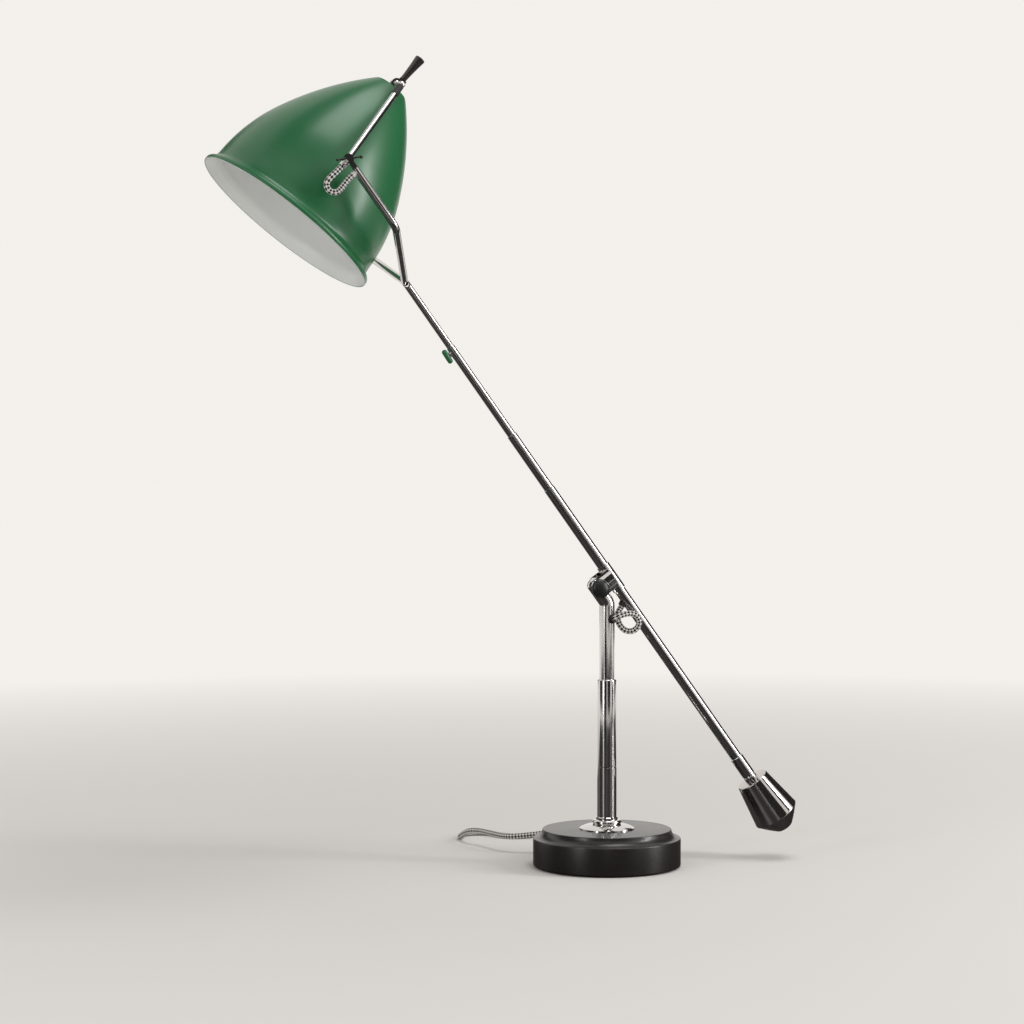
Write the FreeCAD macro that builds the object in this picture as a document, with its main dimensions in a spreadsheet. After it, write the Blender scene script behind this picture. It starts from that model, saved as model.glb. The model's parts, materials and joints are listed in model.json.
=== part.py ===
"""Counterweight balance desk lamp, in millimetres.

+Z is up and the origin is the centre of the base's underside, on the post's axis. The arm leans in
the XZ plane: the shade is toward -X, the counterweight toward +X, and -Y is the near side, which
has the tilt knob and the lead's loops.
"""
import FreeCAD, Part

import math
import os

import Sketcher
from FreeCAD import Placement, Rotation, Vector

DOC = FreeCAD.newDocument("BalanceLamp")
SHEET = DOC.addObject("Spreadsheet::Sheet", "Sizes")
X, Y, Z = Vector(1, 0, 0), Vector(0, 1, 0), Vector(0, 0, 1)


# ---------------------------------------------------------------- driving sizes
SIZES = [
    # alias, value, what it is
    ("base_radius", 75, "wooden base, widest"),
    ("base_wall_height", 29.5, "top of the base's upright wall"),
    ("base_height", 38.3, "flat top of the base"),
    ("base_top_radius", 65, "flat top's radius"),
    ("base_edge_ease", 1.2, "eased corners of the wood"),
    ("pad_thickness", 1.5, "felt under the base"),
    ("pad_radius", 72, "felt's radius"),
    ("weight_radius", 58, "iron weight in the base"),
    ("weight_thickness", 15, "iron weight"),
    ("weight_gap", 0.4, "weight's clearance in the wood"),
    ("weight_screw_circle", 40, "radius of the weight's screw circle"),
    ("weight_screw_radius", 2, "shank of a weight screw"),
    ("weight_screw_head", 4, "head radius of a weight screw"),
    ("nipple_radius", 6, "hollow threaded rod that clamps the base"),
    ("nipple_bore", 3.6, "lead's way through it"),
    ("nut_across", 11, "clamp nut's corner radius"),
    ("nut_height", 5, "clamp nut"),
    ("washer_radius", 14, "clamp washer"),
    ("washer_thickness", 1.6, "clamp washer"),
    ("flange_radius", 27.8, "flange on the base's top"),
    ("flange_edge", 1.2, "flange's upright edge"),
    ("flange_bead_radius", 14.2, "bead round the flange's neck"),
    ("flange_bead_height", 7.4, "bead's middle, above the base's top"),
    ("flange_neck_radius", 11, "neck above the bead"),
    ("flange_height", 12.2, "flange's own height"),
    ("foot_radius", 9.75, "post's fixed lower tube"),
    ("foot_wall", 1.3, "its wall"),
    ("seam_height", 101, "where the post turns"),
    ("sleeve_radius", 9.6, "post's turning sleeve"),
    ("shoulder_height", 190.4, "sleeve's top"),
    ("shoulder_round", 1.75, "sleeve's rounded shoulder"),
    ("spindle_top", 160, "swivel spindle's top"),
    ("spindle_wall", 3, "spindle's wall"),
    ("washer_gap", 0.5, "swivel washer's thickness"),
    ("swivel_fit", 0.08, "running clearance on the spindle"),
    ("stem_radius", 7.75, "post's upper tube"),
    ("stem_wall", 1.2, "its wall"),
    ("stem_bend", 9, "centreline radius of the bend at its top"),
    ("stem_seat", 166, "where the stem ends inside the sleeve"),
    ("tilt_x", -11, "tilt axis, from the post's axis"),
    ("tilt_z", 283, "tilt axis, above the table"),
    ("head_reach", 6, "bent head's tube, past the tilt axis"),
    ("head_cap_height", 5, "domed cap on the head"),
    ("arm_angle", 36, "arm's lean from upright at rest, in degrees"),
    ("arm_offset", 18.5, "arm's axis from the tilt axis"),
    ("tilt_fit", 0.08, "running clearance round the tilt bolt"),
    ("bush_radius", 4.6, "tilt bush"),
    ("bolt_radius", 3, "tilt bolt"),
    ("cheek_gap", 8.15, "inner faces of the tee's cheeks, from the mid plane"),
    ("cheek_outer", 12, "outer faces of the cheeks"),
    ("tee_neck_radius", 13, "turned neck of the tee"),
    ("tee_half_width", 10.4, "cheeks' half width along the arm"),
    ("tee_end", 7, "cheeks' rounded end, past the tilt axis"),
    ("tee_sleeve_radius", 6.9, "tee's sleeve round the arm"),
    ("tee_sleeve_half", 15, "half the sleeve's length"),
    ("knob_half_length", 9.9, "oval tilt knob, along the arm"),
    ("knob_half_width", 9.3, "oval tilt knob, across the arm"),
    ("knob_height", 5.6, "its dome"),
    ("knob_skirt", 0.9, "its upright skirt"),
    ("cap_nut_radius", 5.2, "cap nut on the far cheek"),
    ("cap_nut_height", 4.4, "cap nut"),
    ("arm_radius", 5.8, "main tube"),
    ("arm_wall", 0.55, "its wall"),
    ("arm_top", 111.7, "main tube's upper end, from the tilt axis"),
    ("step_radius", 5.2, "step tube"),
    ("step_wall", 0.8, "its wall"),
    ("step_top", 177.9, "its upper end"),
    ("guide_radius", 4.35, "guide tube"),
    ("guide_wall", 0.5, "its wall"),
    ("guide_top", 285.7, "its upper end"),
    ("tube_overlap", 18, "how far each tube enters the next"),
    ("head_tube_radius", 3.75, "sliding tube that carries the fork"),
    ("head_tube_bore", 2.75, "its bore"),
    ("head_tube_in", 118, "how far it reaches into the guide tube"),
    ("fork_root", 364.5, "where the fork's prongs meet, from the tilt axis"),
    ("fork_spread", 61, "prongs' lean from the arm's line at the root, in degrees"),
    ("fork_tip", 498, "side pivots' axis"),
    ("fork_half", 99.5, "prongs from the mid plane"),
    ("fork_bend_radius", 12, "prongs' bend, on the centreline"),
    ("prong_end", 11, "prong's tube stops this far from the pivot"),
    ("eye_radius", 4.8, "eyes of the side pivots"),
    ("eye_thickness", 3.5, "each eye"),
    ("eye_gap", 0.2, "between two eyes"),
    ("pivot_radius", 1.9, "shank of a side pivot screw"),
    ("pivot_head", 3.2, "head radius of a side pivot screw"),
    ("pivot_head_height", 3.2, "its head"),
    ("tommy_radius", 0.85, "tommy bar"),
    ("tommy_half", 11.4, "half the tommy bar's length"),
    ("tommy_ball", 1.6, "balls on its ends"),
    ("tommy_angle", 81, "tommy bar's lean from upright, in degrees"),
    ("thumb_station", 279.7, "arm's thumbscrew, from the tilt axis"),
    ("thumb_reach", 8.1, "thumbscrew's wing, from the arm's axis"),
    ("thumb_wing_radius", 2.75, "wing's round ends"),
    ("thumb_wing_half", 5.2, "half its straight length"),
    ("thumb_wing_lean", 9, "wing's turn from the arm's line, in degrees"),
    ("thumb_stem_radius", 1.5, "thumbscrew's stem"),
    ("thumb_boss_radius", 3, "boss that it is threaded into"),
    ("thumb_boss_reach", 5.2, "boss's face, from the arm's axis"),
    ("ferrule_radius", 6.8, "ferrule above the counterweight"),
    ("ferrule_top", 231, "its upper end, below the tilt axis"),
    ("ferrule_groove", 1.1, "groove near its lower end"),
    ("weight_top", 260.7, "counterweight's upper face"),
    ("weight_top_radius", 16.5, "counterweight's upper face"),
    ("weight_wide", 306.1, "where it is widest"),
    ("weight_wide_radius", 24.15, "its widest radius"),
    ("weight_end", 323, "its blunt end"),
    ("weight_end_radius", 9, "blunt end's radius"),
    ("spigot_radius", 4.5, "arm's spigot in the counterweight"),
    ("spigot_depth", 30, "how far it reaches in"),
    ("yoke_angle", 40.15, "yoke's lean from upright at rest, in degrees"),
    ("rod_inset", 1.5, "yoke rods inside the prongs, at the side pivots"),
    ("rod_top", 108, "cross bar, from the side pivots along the yoke"),
    ("rod_lean", 34.6, "rods' lean toward the mid plane, in degrees"),
    ("rod_radius", 3.2, "yoke rods"),
    ("rod_bore", 2.4, "their bore"),
    ("rod_start", 5, "rod's lower end, from the pivot along the yoke"),
    ("rod_sleeve_length", 15, "black sleeves on the rods' tops"),
    ("rod_sleeve_wall", 0.35, "their wall"),
    ("outlet_radius", 3.8, "lead's outlet below the near side pivot"),
    ("outlet_length", 6, "outlet"),
    ("crossbar_radius", 2.4, "cross bar of the yoke"),
    ("knuckle_radius", 3.7, "balls on the cross bar's ends"),
    ("hinge_x", -2.7, "shade's hinge, off the yoke's line"),
    ("hinge_reach", 110.7, "shade's hinge, from the side pivots along the yoke"),
    ("jaw_radius", 5.3, "jaws of the shade's hinge"),
    ("jaw_inner", 2.9, "inner faces of the jaws"),
    ("jaw_outer", 5.9, "outer faces of the jaws"),
    ("boss_bottom", 115.4, "boss between the jaws"),
    ("boss_top", 118, "its top, where the handle sits"),
    ("boss_half", 3.9, "half its width"),
    ("hinge_screw_radius", 1.5, "hinge screw"),
    ("hinge_screw_head", 3.1, "its domed head"),
    ("handle_small", 3.1, "handle's radius at the yoke"),
    ("handle_large", 5.3, "handle's radius at its end"),
    ("handle_length", 28.5, "handle"),
    ("handle_crown", 1.1, "its crowned end"),
    ("shade_angle", 38.4, "shade's lean from upright at rest, in degrees"),
    ("shade_pivot", 67.8, "side pivots' axis, from the mouth"),
    ("lip_radius", 98.3, "shade's rolled lip"),
    ("lip_band", 4.8, "lip's upright band"),
    ("lip_height", 9.4, "lip's shoulder"),
    ("shade_wide", 91.4, "shade's radius above the lip"),
    ("shade_wide_at", 16, "there, from the mouth"),
    ("shade_hip", 75.9, "radius where the shade starts to narrow"),
    ("shade_hip_at", 84, "there, from the mouth"),
    ("shade_side_curve", 175, "profile's radius below there"),
    ("shade_dome_curve", 328.5, "profile's radius above there"),
    ("shade_cap_radius", 18, "shade's flat top"),
    ("shade_height", 171.5, "shade's height"),
    ("shade_wall", 1, "spun metal"),
    ("cap_plate", 1.2, "cap plate on the shade's top"),
    ("stud_radius", 2.5, "neck of the shade's stud"),
    ("stud_ball", 4.2, "eye of the shade's stud"),
    ("stud_half", 2.6, "half its thickness"),
    ("holder_radius", 14, "lamp holder"),
    ("holder_length", 40, "lamp holder"),
    ("holder_ring_radius", 16.5, "its shade ring"),
    ("holder_ring_height", 4, "shade ring"),
    ("bulb_cap_radius", 6.9, "bulb's screw cap"),
    ("bulb_cap_length", 18, "bulb's screw cap"),
    ("bulb_radius", 22.5, "bulb"),
    ("bulb_neck_radius", 8.6, "bulb's neck"),
    ("bulb_length", 58, "bulb's glass"),
    ("lead_radius", 3, "textile lead"),
    ("gland_height", 23.5, "lead's outlet in the base, above the table"),
    ("gland_radius", 5, "gland"),
    ("gland_proud", 4, "how far it stands out"),
    ("gland_angle", 109.3, "lead's direction from +X, in degrees"),
    ("coil_outer", 50, "coil's outer turn, on the centreline"),
    ("coil_pitch", 6.5, "between two turns of one layer"),
    ("coil_layer", 6.45, "between the two layers"),
]


class Dim:
    """A size from the sheet, or worked out from such sizes: its value and its expression."""

    def __init__(self, value, text):
        self.value = value
        self.text = text

    @staticmethod
    def of(thing):
        return thing if isinstance(thing, Dim) else Dim(float(thing), "({:.10g})".format(thing))

    def _with(self, other, sign, value):
        return Dim(value, "({} {} {})".format(self.text, sign, Dim.of(other).text))

    def __add__(self, other):
        return self._with(other, "+", self.value + Dim.of(other).value)

    def __sub__(self, other):
        return self._with(other, "-", self.value - Dim.of(other).value)

    def __mul__(self, other):
        return self._with(other, "*", self.value * Dim.of(other).value)

    def __truediv__(self, other):
        return self._with(other, "/", self.value / Dim.of(other).value)

    def __neg__(self):
        return Dim(-self.value, "(-{})".format(self.text))

    def __radd__(self, other):
        return Dim.of(other) + self

    def __rsub__(self, other):
        return Dim.of(other) - self

    def __rmul__(self, other):
        return Dim.of(other) * self


def sine(angle):
    return Dim(math.sin(math.radians(angle.value)), "sin({})".format(angle.text))


def cosine(angle):
    return Dim(math.cos(math.radians(angle.value)), "cos({})".format(angle.text))


def tangent(angle):
    return Dim(math.tan(math.radians(angle.value)), "tan({})".format(angle.text))


class Sizes:
    """The sheet's sizes by name."""


def fill_sheet():
    """Write every size into the sheet, and give it back by name."""
    sizes = Sizes()
    for row, (alias, value, note) in enumerate(SIZES, start=1):
        SHEET.set("A{}".format(row), alias)
        SHEET.set("B{}".format(row), str(value))
        SHEET.set("C{}".format(row), note)
        SHEET.setAlias("B{}".format(row), alias)
        setattr(sizes, alias, Dim(float(value), "Sizes.{}".format(alias)))
    DOC.recompute()
    return sizes


D = fill_sheet()
D.rod_half = D.fork_half - D.rod_inset
NODES = []  # the document's objects that are pieces of the lamp


# ---------------------------------------------------------------- frames and binding
class Frame:
    """A place in the lamp: an origin in the XZ plane, and a lean about +Y."""

    def __init__(self, x=0, z=0, lean=0):
        self.x = Dim.of(x)
        self.z = Dim.of(z)
        self.lean = Dim.of(lean)

    def at(self, x, z):
        """The lamp's x and z of a point given in this frame."""
        return (
            self.x + Dim.of(x) * cosine(self.lean) + Dim.of(z) * sine(self.lean),
            self.z - Dim.of(x) * sine(self.lean) + Dim.of(z) * cosine(self.lean),
        )


UPRIGHT = Frame()
ARM_FOOT = Frame(D.tilt_x, D.tilt_z, -D.arm_angle).at(D.arm_offset, 0)
ARM = Frame(ARM_FOOT[0], ARM_FOOT[1], -D.arm_angle)  # z runs up the arm, from the tilt axis
SIDE_PIVOT = ARM.at(0, D.fork_tip)
YOKE = Frame(SIDE_PIVOT[0], SIDE_PIVOT[1], D.yoke_angle)  # z runs up the yoke
MOUTH = Frame(SIDE_PIVOT[0], SIDE_PIVOT[1], D.shade_angle).at(0, -D.shade_pivot)
SHADE = Frame(MOUTH[0], MOUTH[1], D.shade_angle)  # z runs from the mouth to the cap
HINGE = YOKE.at(D.hinge_x, D.hinge_reach)


def bind(thing, name, size):
    """Set a property, and tie it to the sheet."""
    size = Dim.of(size)
    if "." not in name:
        setattr(thing, name, size.value)
    if "Sizes." in size.text:
        thing.setExpression(name, size.text)
    return thing


def place(thing, x=0, y=0, z=0, axis=Z, angle=0):
    """Put a thing at a place, turned about an axis."""
    x, y, z, angle = (Dim.of(v) for v in (x, y, z, angle))
    turn = Rotation(axis, angle.value)
    thing.Placement = Placement(Vector(x.value, y.value, z.value), turn)
    for name, size in (("x", x), ("y", y), ("z", z)):
        if "Sizes." in size.text:
            thing.setExpression("Placement.Base." + name, size.text)
    if "Sizes." in angle.text:
        thing.setExpression("Placement.Rotation.Angle", angle.text)
    return thing


def node(thing, label, frame=UPRIGHT):
    """Call a finished thing a piece of the lamp, in one of its frames."""
    if thing.isDerivedFrom("Part::Primitive"):
        thing = group(thing)
    thing.Label = label
    if frame is not UPRIGHT:
        place(thing, frame.x, 0, frame.z, Y, frame.lean)
    NODES.append(thing)
    return thing


# ---------------------------------------------------------------- solids
def cylinder(radius, low, high, x=0, y=0):
    """An upright cylinder from one height to another."""
    c = DOC.addObject("Part::Cylinder", "Cylinder")
    bind(c, "Radius", radius)
    bind(c, "Height", Dim.of(high) - low)
    return place(c, x, y, low)


def crossways(radius, near, far, x=0, z=0):
    """A cylinder along +Y, from near to far."""
    c = DOC.addObject("Part::Cylinder", "Pin")
    bind(c, "Radius", radius)
    bind(c, "Height", Dim.of(far) - near)
    return place(c, x, near, z, X, -90)


def sideways(radius, low, high, y=0, z=0):
    """A cylinder along +X, from low to high."""
    c = DOC.addObject("Part::Cylinder", "Stud")
    bind(c, "Radius", radius)
    bind(c, "Height", Dim.of(high) - low)
    return place(c, low, y, z, Y, 90)


def ball(radius, x=0, y=0, z=0):
    s = DOC.addObject("Part::Sphere", "Ball")
    bind(s, "Radius", radius)
    return place(s, x, y, z)


def block(x, y, z):
    """A box from three (low, high) pairs."""
    b = DOC.addObject("Part::Box", "Block")
    for name, (low, high) in (("Length", x), ("Width", y), ("Height", z)):
        bind(b, name, Dim.of(high) - low)
    return place(b, x[0], y[0], z[0])


def fuse(*things):
    f = DOC.addObject("Part::MultiFuse", "Joined")
    f.Shapes = list(things)
    return f


def cut(base, *tools):
    c = DOC.addObject("Part::Cut", "Trimmed")
    c.Base = base
    c.Tool = tools[0] if len(tools) == 1 else fuse(*tools)
    return c


def common(*things):
    c = DOC.addObject("Part::MultiCommon", "Kept")
    c.Shapes = list(things)
    return c


def group(*things):
    """Solids that are one piece of the lamp, such as a set of screws."""
    c = DOC.addObject("Part::Compound", "Group")
    c.Links = list(things)
    return c


def arc_through(a, b, radius, left):
    """The sketch arc from a to b with a radius, bulging to the left or right of the way there."""
    mid, way = (a + b) * 0.5, b - a
    side = Vector(-way.y, way.x, 0).normalize() * (1 if left else -1)
    deep = math.sqrt(max(radius**2 - way.Length**2 / 4, 0))
    return Part.Arc(a, mid + side * (radius - deep), b)


def outline(sketch, points):
    """Draw a closed profile. A point is (x, y), or (x, y, radius, left) where an arc leads to the next."""
    flat = [Vector(Dim.of(p[0]).value, Dim.of(p[1]).value, 0) for p in points]
    for i, point in enumerate(points):
        a, b = flat[i], flat[(i + 1) % len(flat)]
        curve = arc_through(a, b, Dim.of(point[2]).value, point[3]) if len(point) > 2 else Part.LineSegment(a, b)
        sketch.addGeometry(curve, False)
    ends = []
    for i, a in enumerate(flat):
        first = sketch.getPoint(i, 1)
        ends.append((1, 2) if (first - a).Length < 1e-6 else (2, 1))
    for i in range(len(flat)):
        j = (i + 1) % len(flat)
        sketch.addConstraint(Sketcher.Constraint("Coincident", i, ends[i][1], j, ends[j][0]))
    for i, point in enumerate(points):
        for kind, size, axis in (("DistanceX", point[0], -2), ("DistanceY", point[1], -1)):
            size = Dim.of(size)
            if abs(size.value) < 1e-9 and "Sizes." not in size.text:
                sketch.addConstraint(Sketcher.Constraint("PointOnObject", i, ends[i][0], axis))
                continue
            n = sketch.addConstraint(Sketcher.Constraint(kind, -1, 1, i, ends[i][0], size.value))
            if "Sizes." in size.text:
                sketch.setExpression("Constraints[{}]".format(n), size.text)
        if len(point) > 2:
            size = Dim.of(point[2])
            n = sketch.addConstraint(Sketcher.Constraint("Radius", i, size.value))
            if "Sizes." in size.text:
                sketch.setExpression("Constraints[{}]".format(n), size.text)


def origin_plane(body, role):
    return next(f for f in body.Origin.OriginFeatures if f.Role == role)


def sketch_on(body, role):
    """A new sketch on one of a body's own origin planes."""
    sketch = body.newObject("Sketcher::SketchObject", "Profile")
    sketch.AttachmentSupport = (origin_plane(body, role), [""])
    sketch.MapMode = "FlatFace"
    return sketch


def turned(points):
    """A turned piece: a body that revolves a profile of (radius, height) points about +Z."""
    body = DOC.addObject("PartDesign::Body", "Turned")
    sketch = sketch_on(body, "XZ_Plane")
    outline(sketch, points)
    spin = body.newObject("PartDesign::Revolution", "Revolution")
    spin.Profile = sketch
    spin.ReferenceAxis = (sketch, ["V_Axis"])
    spin.Angle = 360
    return body


def plate(points, half, role="XZ_Plane"):
    """A plate in an origin plane, half as thick to either side of it."""
    body = DOC.addObject("PartDesign::Body", "Plate")
    sketch = sketch_on(body, role)
    outline(sketch, points)
    pad = body.newObject("PartDesign::Pad", "Pad")
    pad.Profile = sketch
    pad.SideType = "Symmetric"
    bind(pad, "Length", Dim.of(half) * 2)
    return body


def bent_tube(path, bend, radius, bore, role="XZ_Plane"):
    """A tube along a path of three points in an origin plane, with one bend; it starts along +Z."""
    body = DOC.addObject("PartDesign::Body", "BentTube")
    flat = [Vector(Dim.of(p[0]).value, Dim.of(p[1]).value, 0) for p in path]
    u = (flat[1] - flat[0]).normalize()
    w = (flat[2] - flat[1]).normalize()
    turn = u.getAngle(w)
    bend = Dim.of(bend)
    back = bend.value * math.tan(turn / 2)
    start, stop = flat[1] - u * back, flat[1] + w * back
    centre_way = (w - u).normalize()
    centre = flat[1] + centre_way * (bend.value / math.cos(turn / 2))
    middle = centre - centre_way * bend.value
    line = sketch_on(body, role)
    line.addGeometry(Part.LineSegment(flat[0], start), False)
    line.addGeometry(Part.Arc(start, middle, stop), False)
    line.addGeometry(Part.LineSegment(stop, flat[2]), False)
    near, away = (1, 2) if (line.getPoint(1, 1) - start).Length < 1e-6 else (2, 1)
    line.addConstraint(Sketcher.Constraint("Tangent", 0, 2, 1, near))
    line.addConstraint(Sketcher.Constraint("Tangent", 1, away, 2, 1))
    corner = line.addGeometry(Part.Point(flat[1]), True)
    line.addConstraint(Sketcher.Constraint("PointOnObject", corner, 1, 0))
    line.addConstraint(Sketcher.Constraint("PointOnObject", corner, 1, 2))
    n = line.addConstraint(Sketcher.Constraint("Radius", 1, bend.value))
    line.setExpression("Constraints[{}]".format(n), bend.text)
    for piece, end, point in ((0, 1, path[0]), (corner, 1, path[1]), (2, 2, path[2])):
        for kind, size, axis in (("DistanceX", point[0], -2), ("DistanceY", point[1], -1)):
            size = Dim.of(size)
            if abs(size.value) < 1e-9 and "Sizes." not in size.text:
                line.addConstraint(Sketcher.Constraint("PointOnObject", piece, end, axis))
                continue
            n = line.addConstraint(Sketcher.Constraint(kind, -1, 1, piece, end, size.value))
            if "Sizes." in size.text:
                line.setExpression("Constraints[{}]".format(n), size.text)
    ring = sketch_on(body, "XY_Plane")
    for size in (radius, bore):
        size = Dim.of(size)
        i = ring.addGeometry(Part.Circle(Vector(0, 0, 0), Z, size.value), False)
        ring.addConstraint(Sketcher.Constraint("Coincident", i, 3, -1, 1))
        n = ring.addConstraint(Sketcher.Constraint("Radius", i, size.value))
        ring.setExpression("Constraints[{}]".format(n), size.text)
    pipe = body.newObject("PartDesign::AdditivePipe", "Pipe")
    pipe.Profile = ring
    pipe.Spine = line
    return body


# ---------------------------------------------------------------- base
LEAD_WAY = Vector(-sine(D.gland_angle).value, cosine(D.gland_angle).value, 0)  # turns +Z to the lead's way


def make_base():
    """Turned wooden base with its iron weight, felt and clamp."""
    floor = D.pad_thickness
    weight_top = floor + D.weight_thickness
    recess = weight_top + D.weight_gap
    recess_radius = D.weight_radius + D.weight_gap
    cove = D.base_height - D.base_wall_height
    ceiling = D.base_height - 9
    wood = turned(
        [
            (0, recess),
            (recess_radius, recess),
            (recess_radius, floor),
            (D.base_radius - D.base_edge_ease, floor),
            (D.base_radius, floor + D.base_edge_ease),
            (D.base_radius, D.base_wall_height - D.base_edge_ease, D.base_edge_ease, False),
            (D.base_radius - D.base_edge_ease, D.base_wall_height),
            (D.base_radius - D.base_edge_ease * 2, D.base_wall_height, cove * 1.05, True),
            (D.base_top_radius + 0.4, D.base_height - 0.6),
            (D.base_top_radius - 0.4, D.base_height),
            (0, D.base_height),
        ]
    )
    lead_way = cylinder(D.gland_radius - 1, 0, D.base_radius * 1.1)
    place(lead_way, 0, 0, D.gland_height, LEAD_WAY, 90)
    chamber = cylinder(D.washer_radius + 2, floor, ceiling)
    rod_way = cylinder(D.nipple_radius + 0.2, floor, D.base_height + 1)
    node(cut(wood, lead_way, chamber, rod_way), "base_body")

    inner = D.washer_radius + 2.5
    iron = turned(
        [
            (inner, floor),
            (D.weight_radius - 1, floor),
            (D.weight_radius, floor + 1),
            (D.weight_radius, weight_top),
            (inner, weight_top),
        ]
    )
    screws, holes = [], []
    seat = floor + 2.6
    for i in range(3):
        turn = Dim.of(120 * i + 30)
        x, y = D.weight_screw_circle * cosine(turn), D.weight_screw_circle * sine(turn)
        head = cylinder(D.weight_screw_head, floor + 0.4, seat, x, y)
        screws.append(fuse(head, cylinder(D.weight_screw_radius, seat, weight_top, x, y)))
        holes.append(cylinder(D.weight_screw_head + 0.2, floor - 1, seat, x, y))
        holes.append(cylinder(D.weight_screw_radius + 0.1, floor, weight_top + 1, x, y))
    node(cut(iron, *holes), "base_weight")
    node(group(*screws), "base_weight_screws")
    node(turned([(0, 0), (D.pad_radius, 0), (D.pad_radius, floor), (0, floor)]), "base_felt_pad")

    washer_low = ceiling - D.washer_thickness
    rod_bottom = washer_low - D.nut_height
    nut = DOC.addObject("Part::Prism", "Nut")
    nut.Polygon = 6
    bind(nut, "Circumradius", D.nut_across)
    bind(nut, "Height", D.nut_height)
    place(nut, 0, 0, rod_bottom)
    washer = cylinder(D.washer_radius, washer_low, ceiling)
    node(cut(fuse(nut, washer), cylinder(D.nipple_radius, 0, D.base_height)), "base_clamp_nut")
    rod_top = D.seam_height - 45
    node(
        turned(
            [
                (D.nipple_bore, rod_bottom - 1.5),
                (D.nipple_radius, rod_bottom - 1.5),
                (D.nipple_radius, rod_top),
                (D.nipple_bore, rod_top),
            ]
        ),
        "base_threaded_tube",
    )
    face = D.base_radius + D.gland_proud
    spigot = cylinder(D.gland_radius - 1.1, D.base_radius - 9, D.base_radius + 1)
    gland = fuse(spigot, cylinder(D.gland_radius, D.base_radius + 0.1, face))
    bored = cut(gland, cylinder(D.lead_radius + 0.02, D.base_radius - 10, face + 1))
    node(place(bored, 0, 0, D.gland_height, LEAD_WAY, 90), "cord_gland")


# ---------------------------------------------------------------- post
LEAD_OUT = Vector(1.5, -4, 250.5)  # where the lead's loop leaves the post
LEAD_OUT_WAY = Vector(0.503, -0.806, 0.312)


def along(thing, start, way):
    """Put a thing that was made up +Z at a start, pointing a way."""
    thing.Placement = Placement(start, Rotation(Z, way))
    return thing


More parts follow.
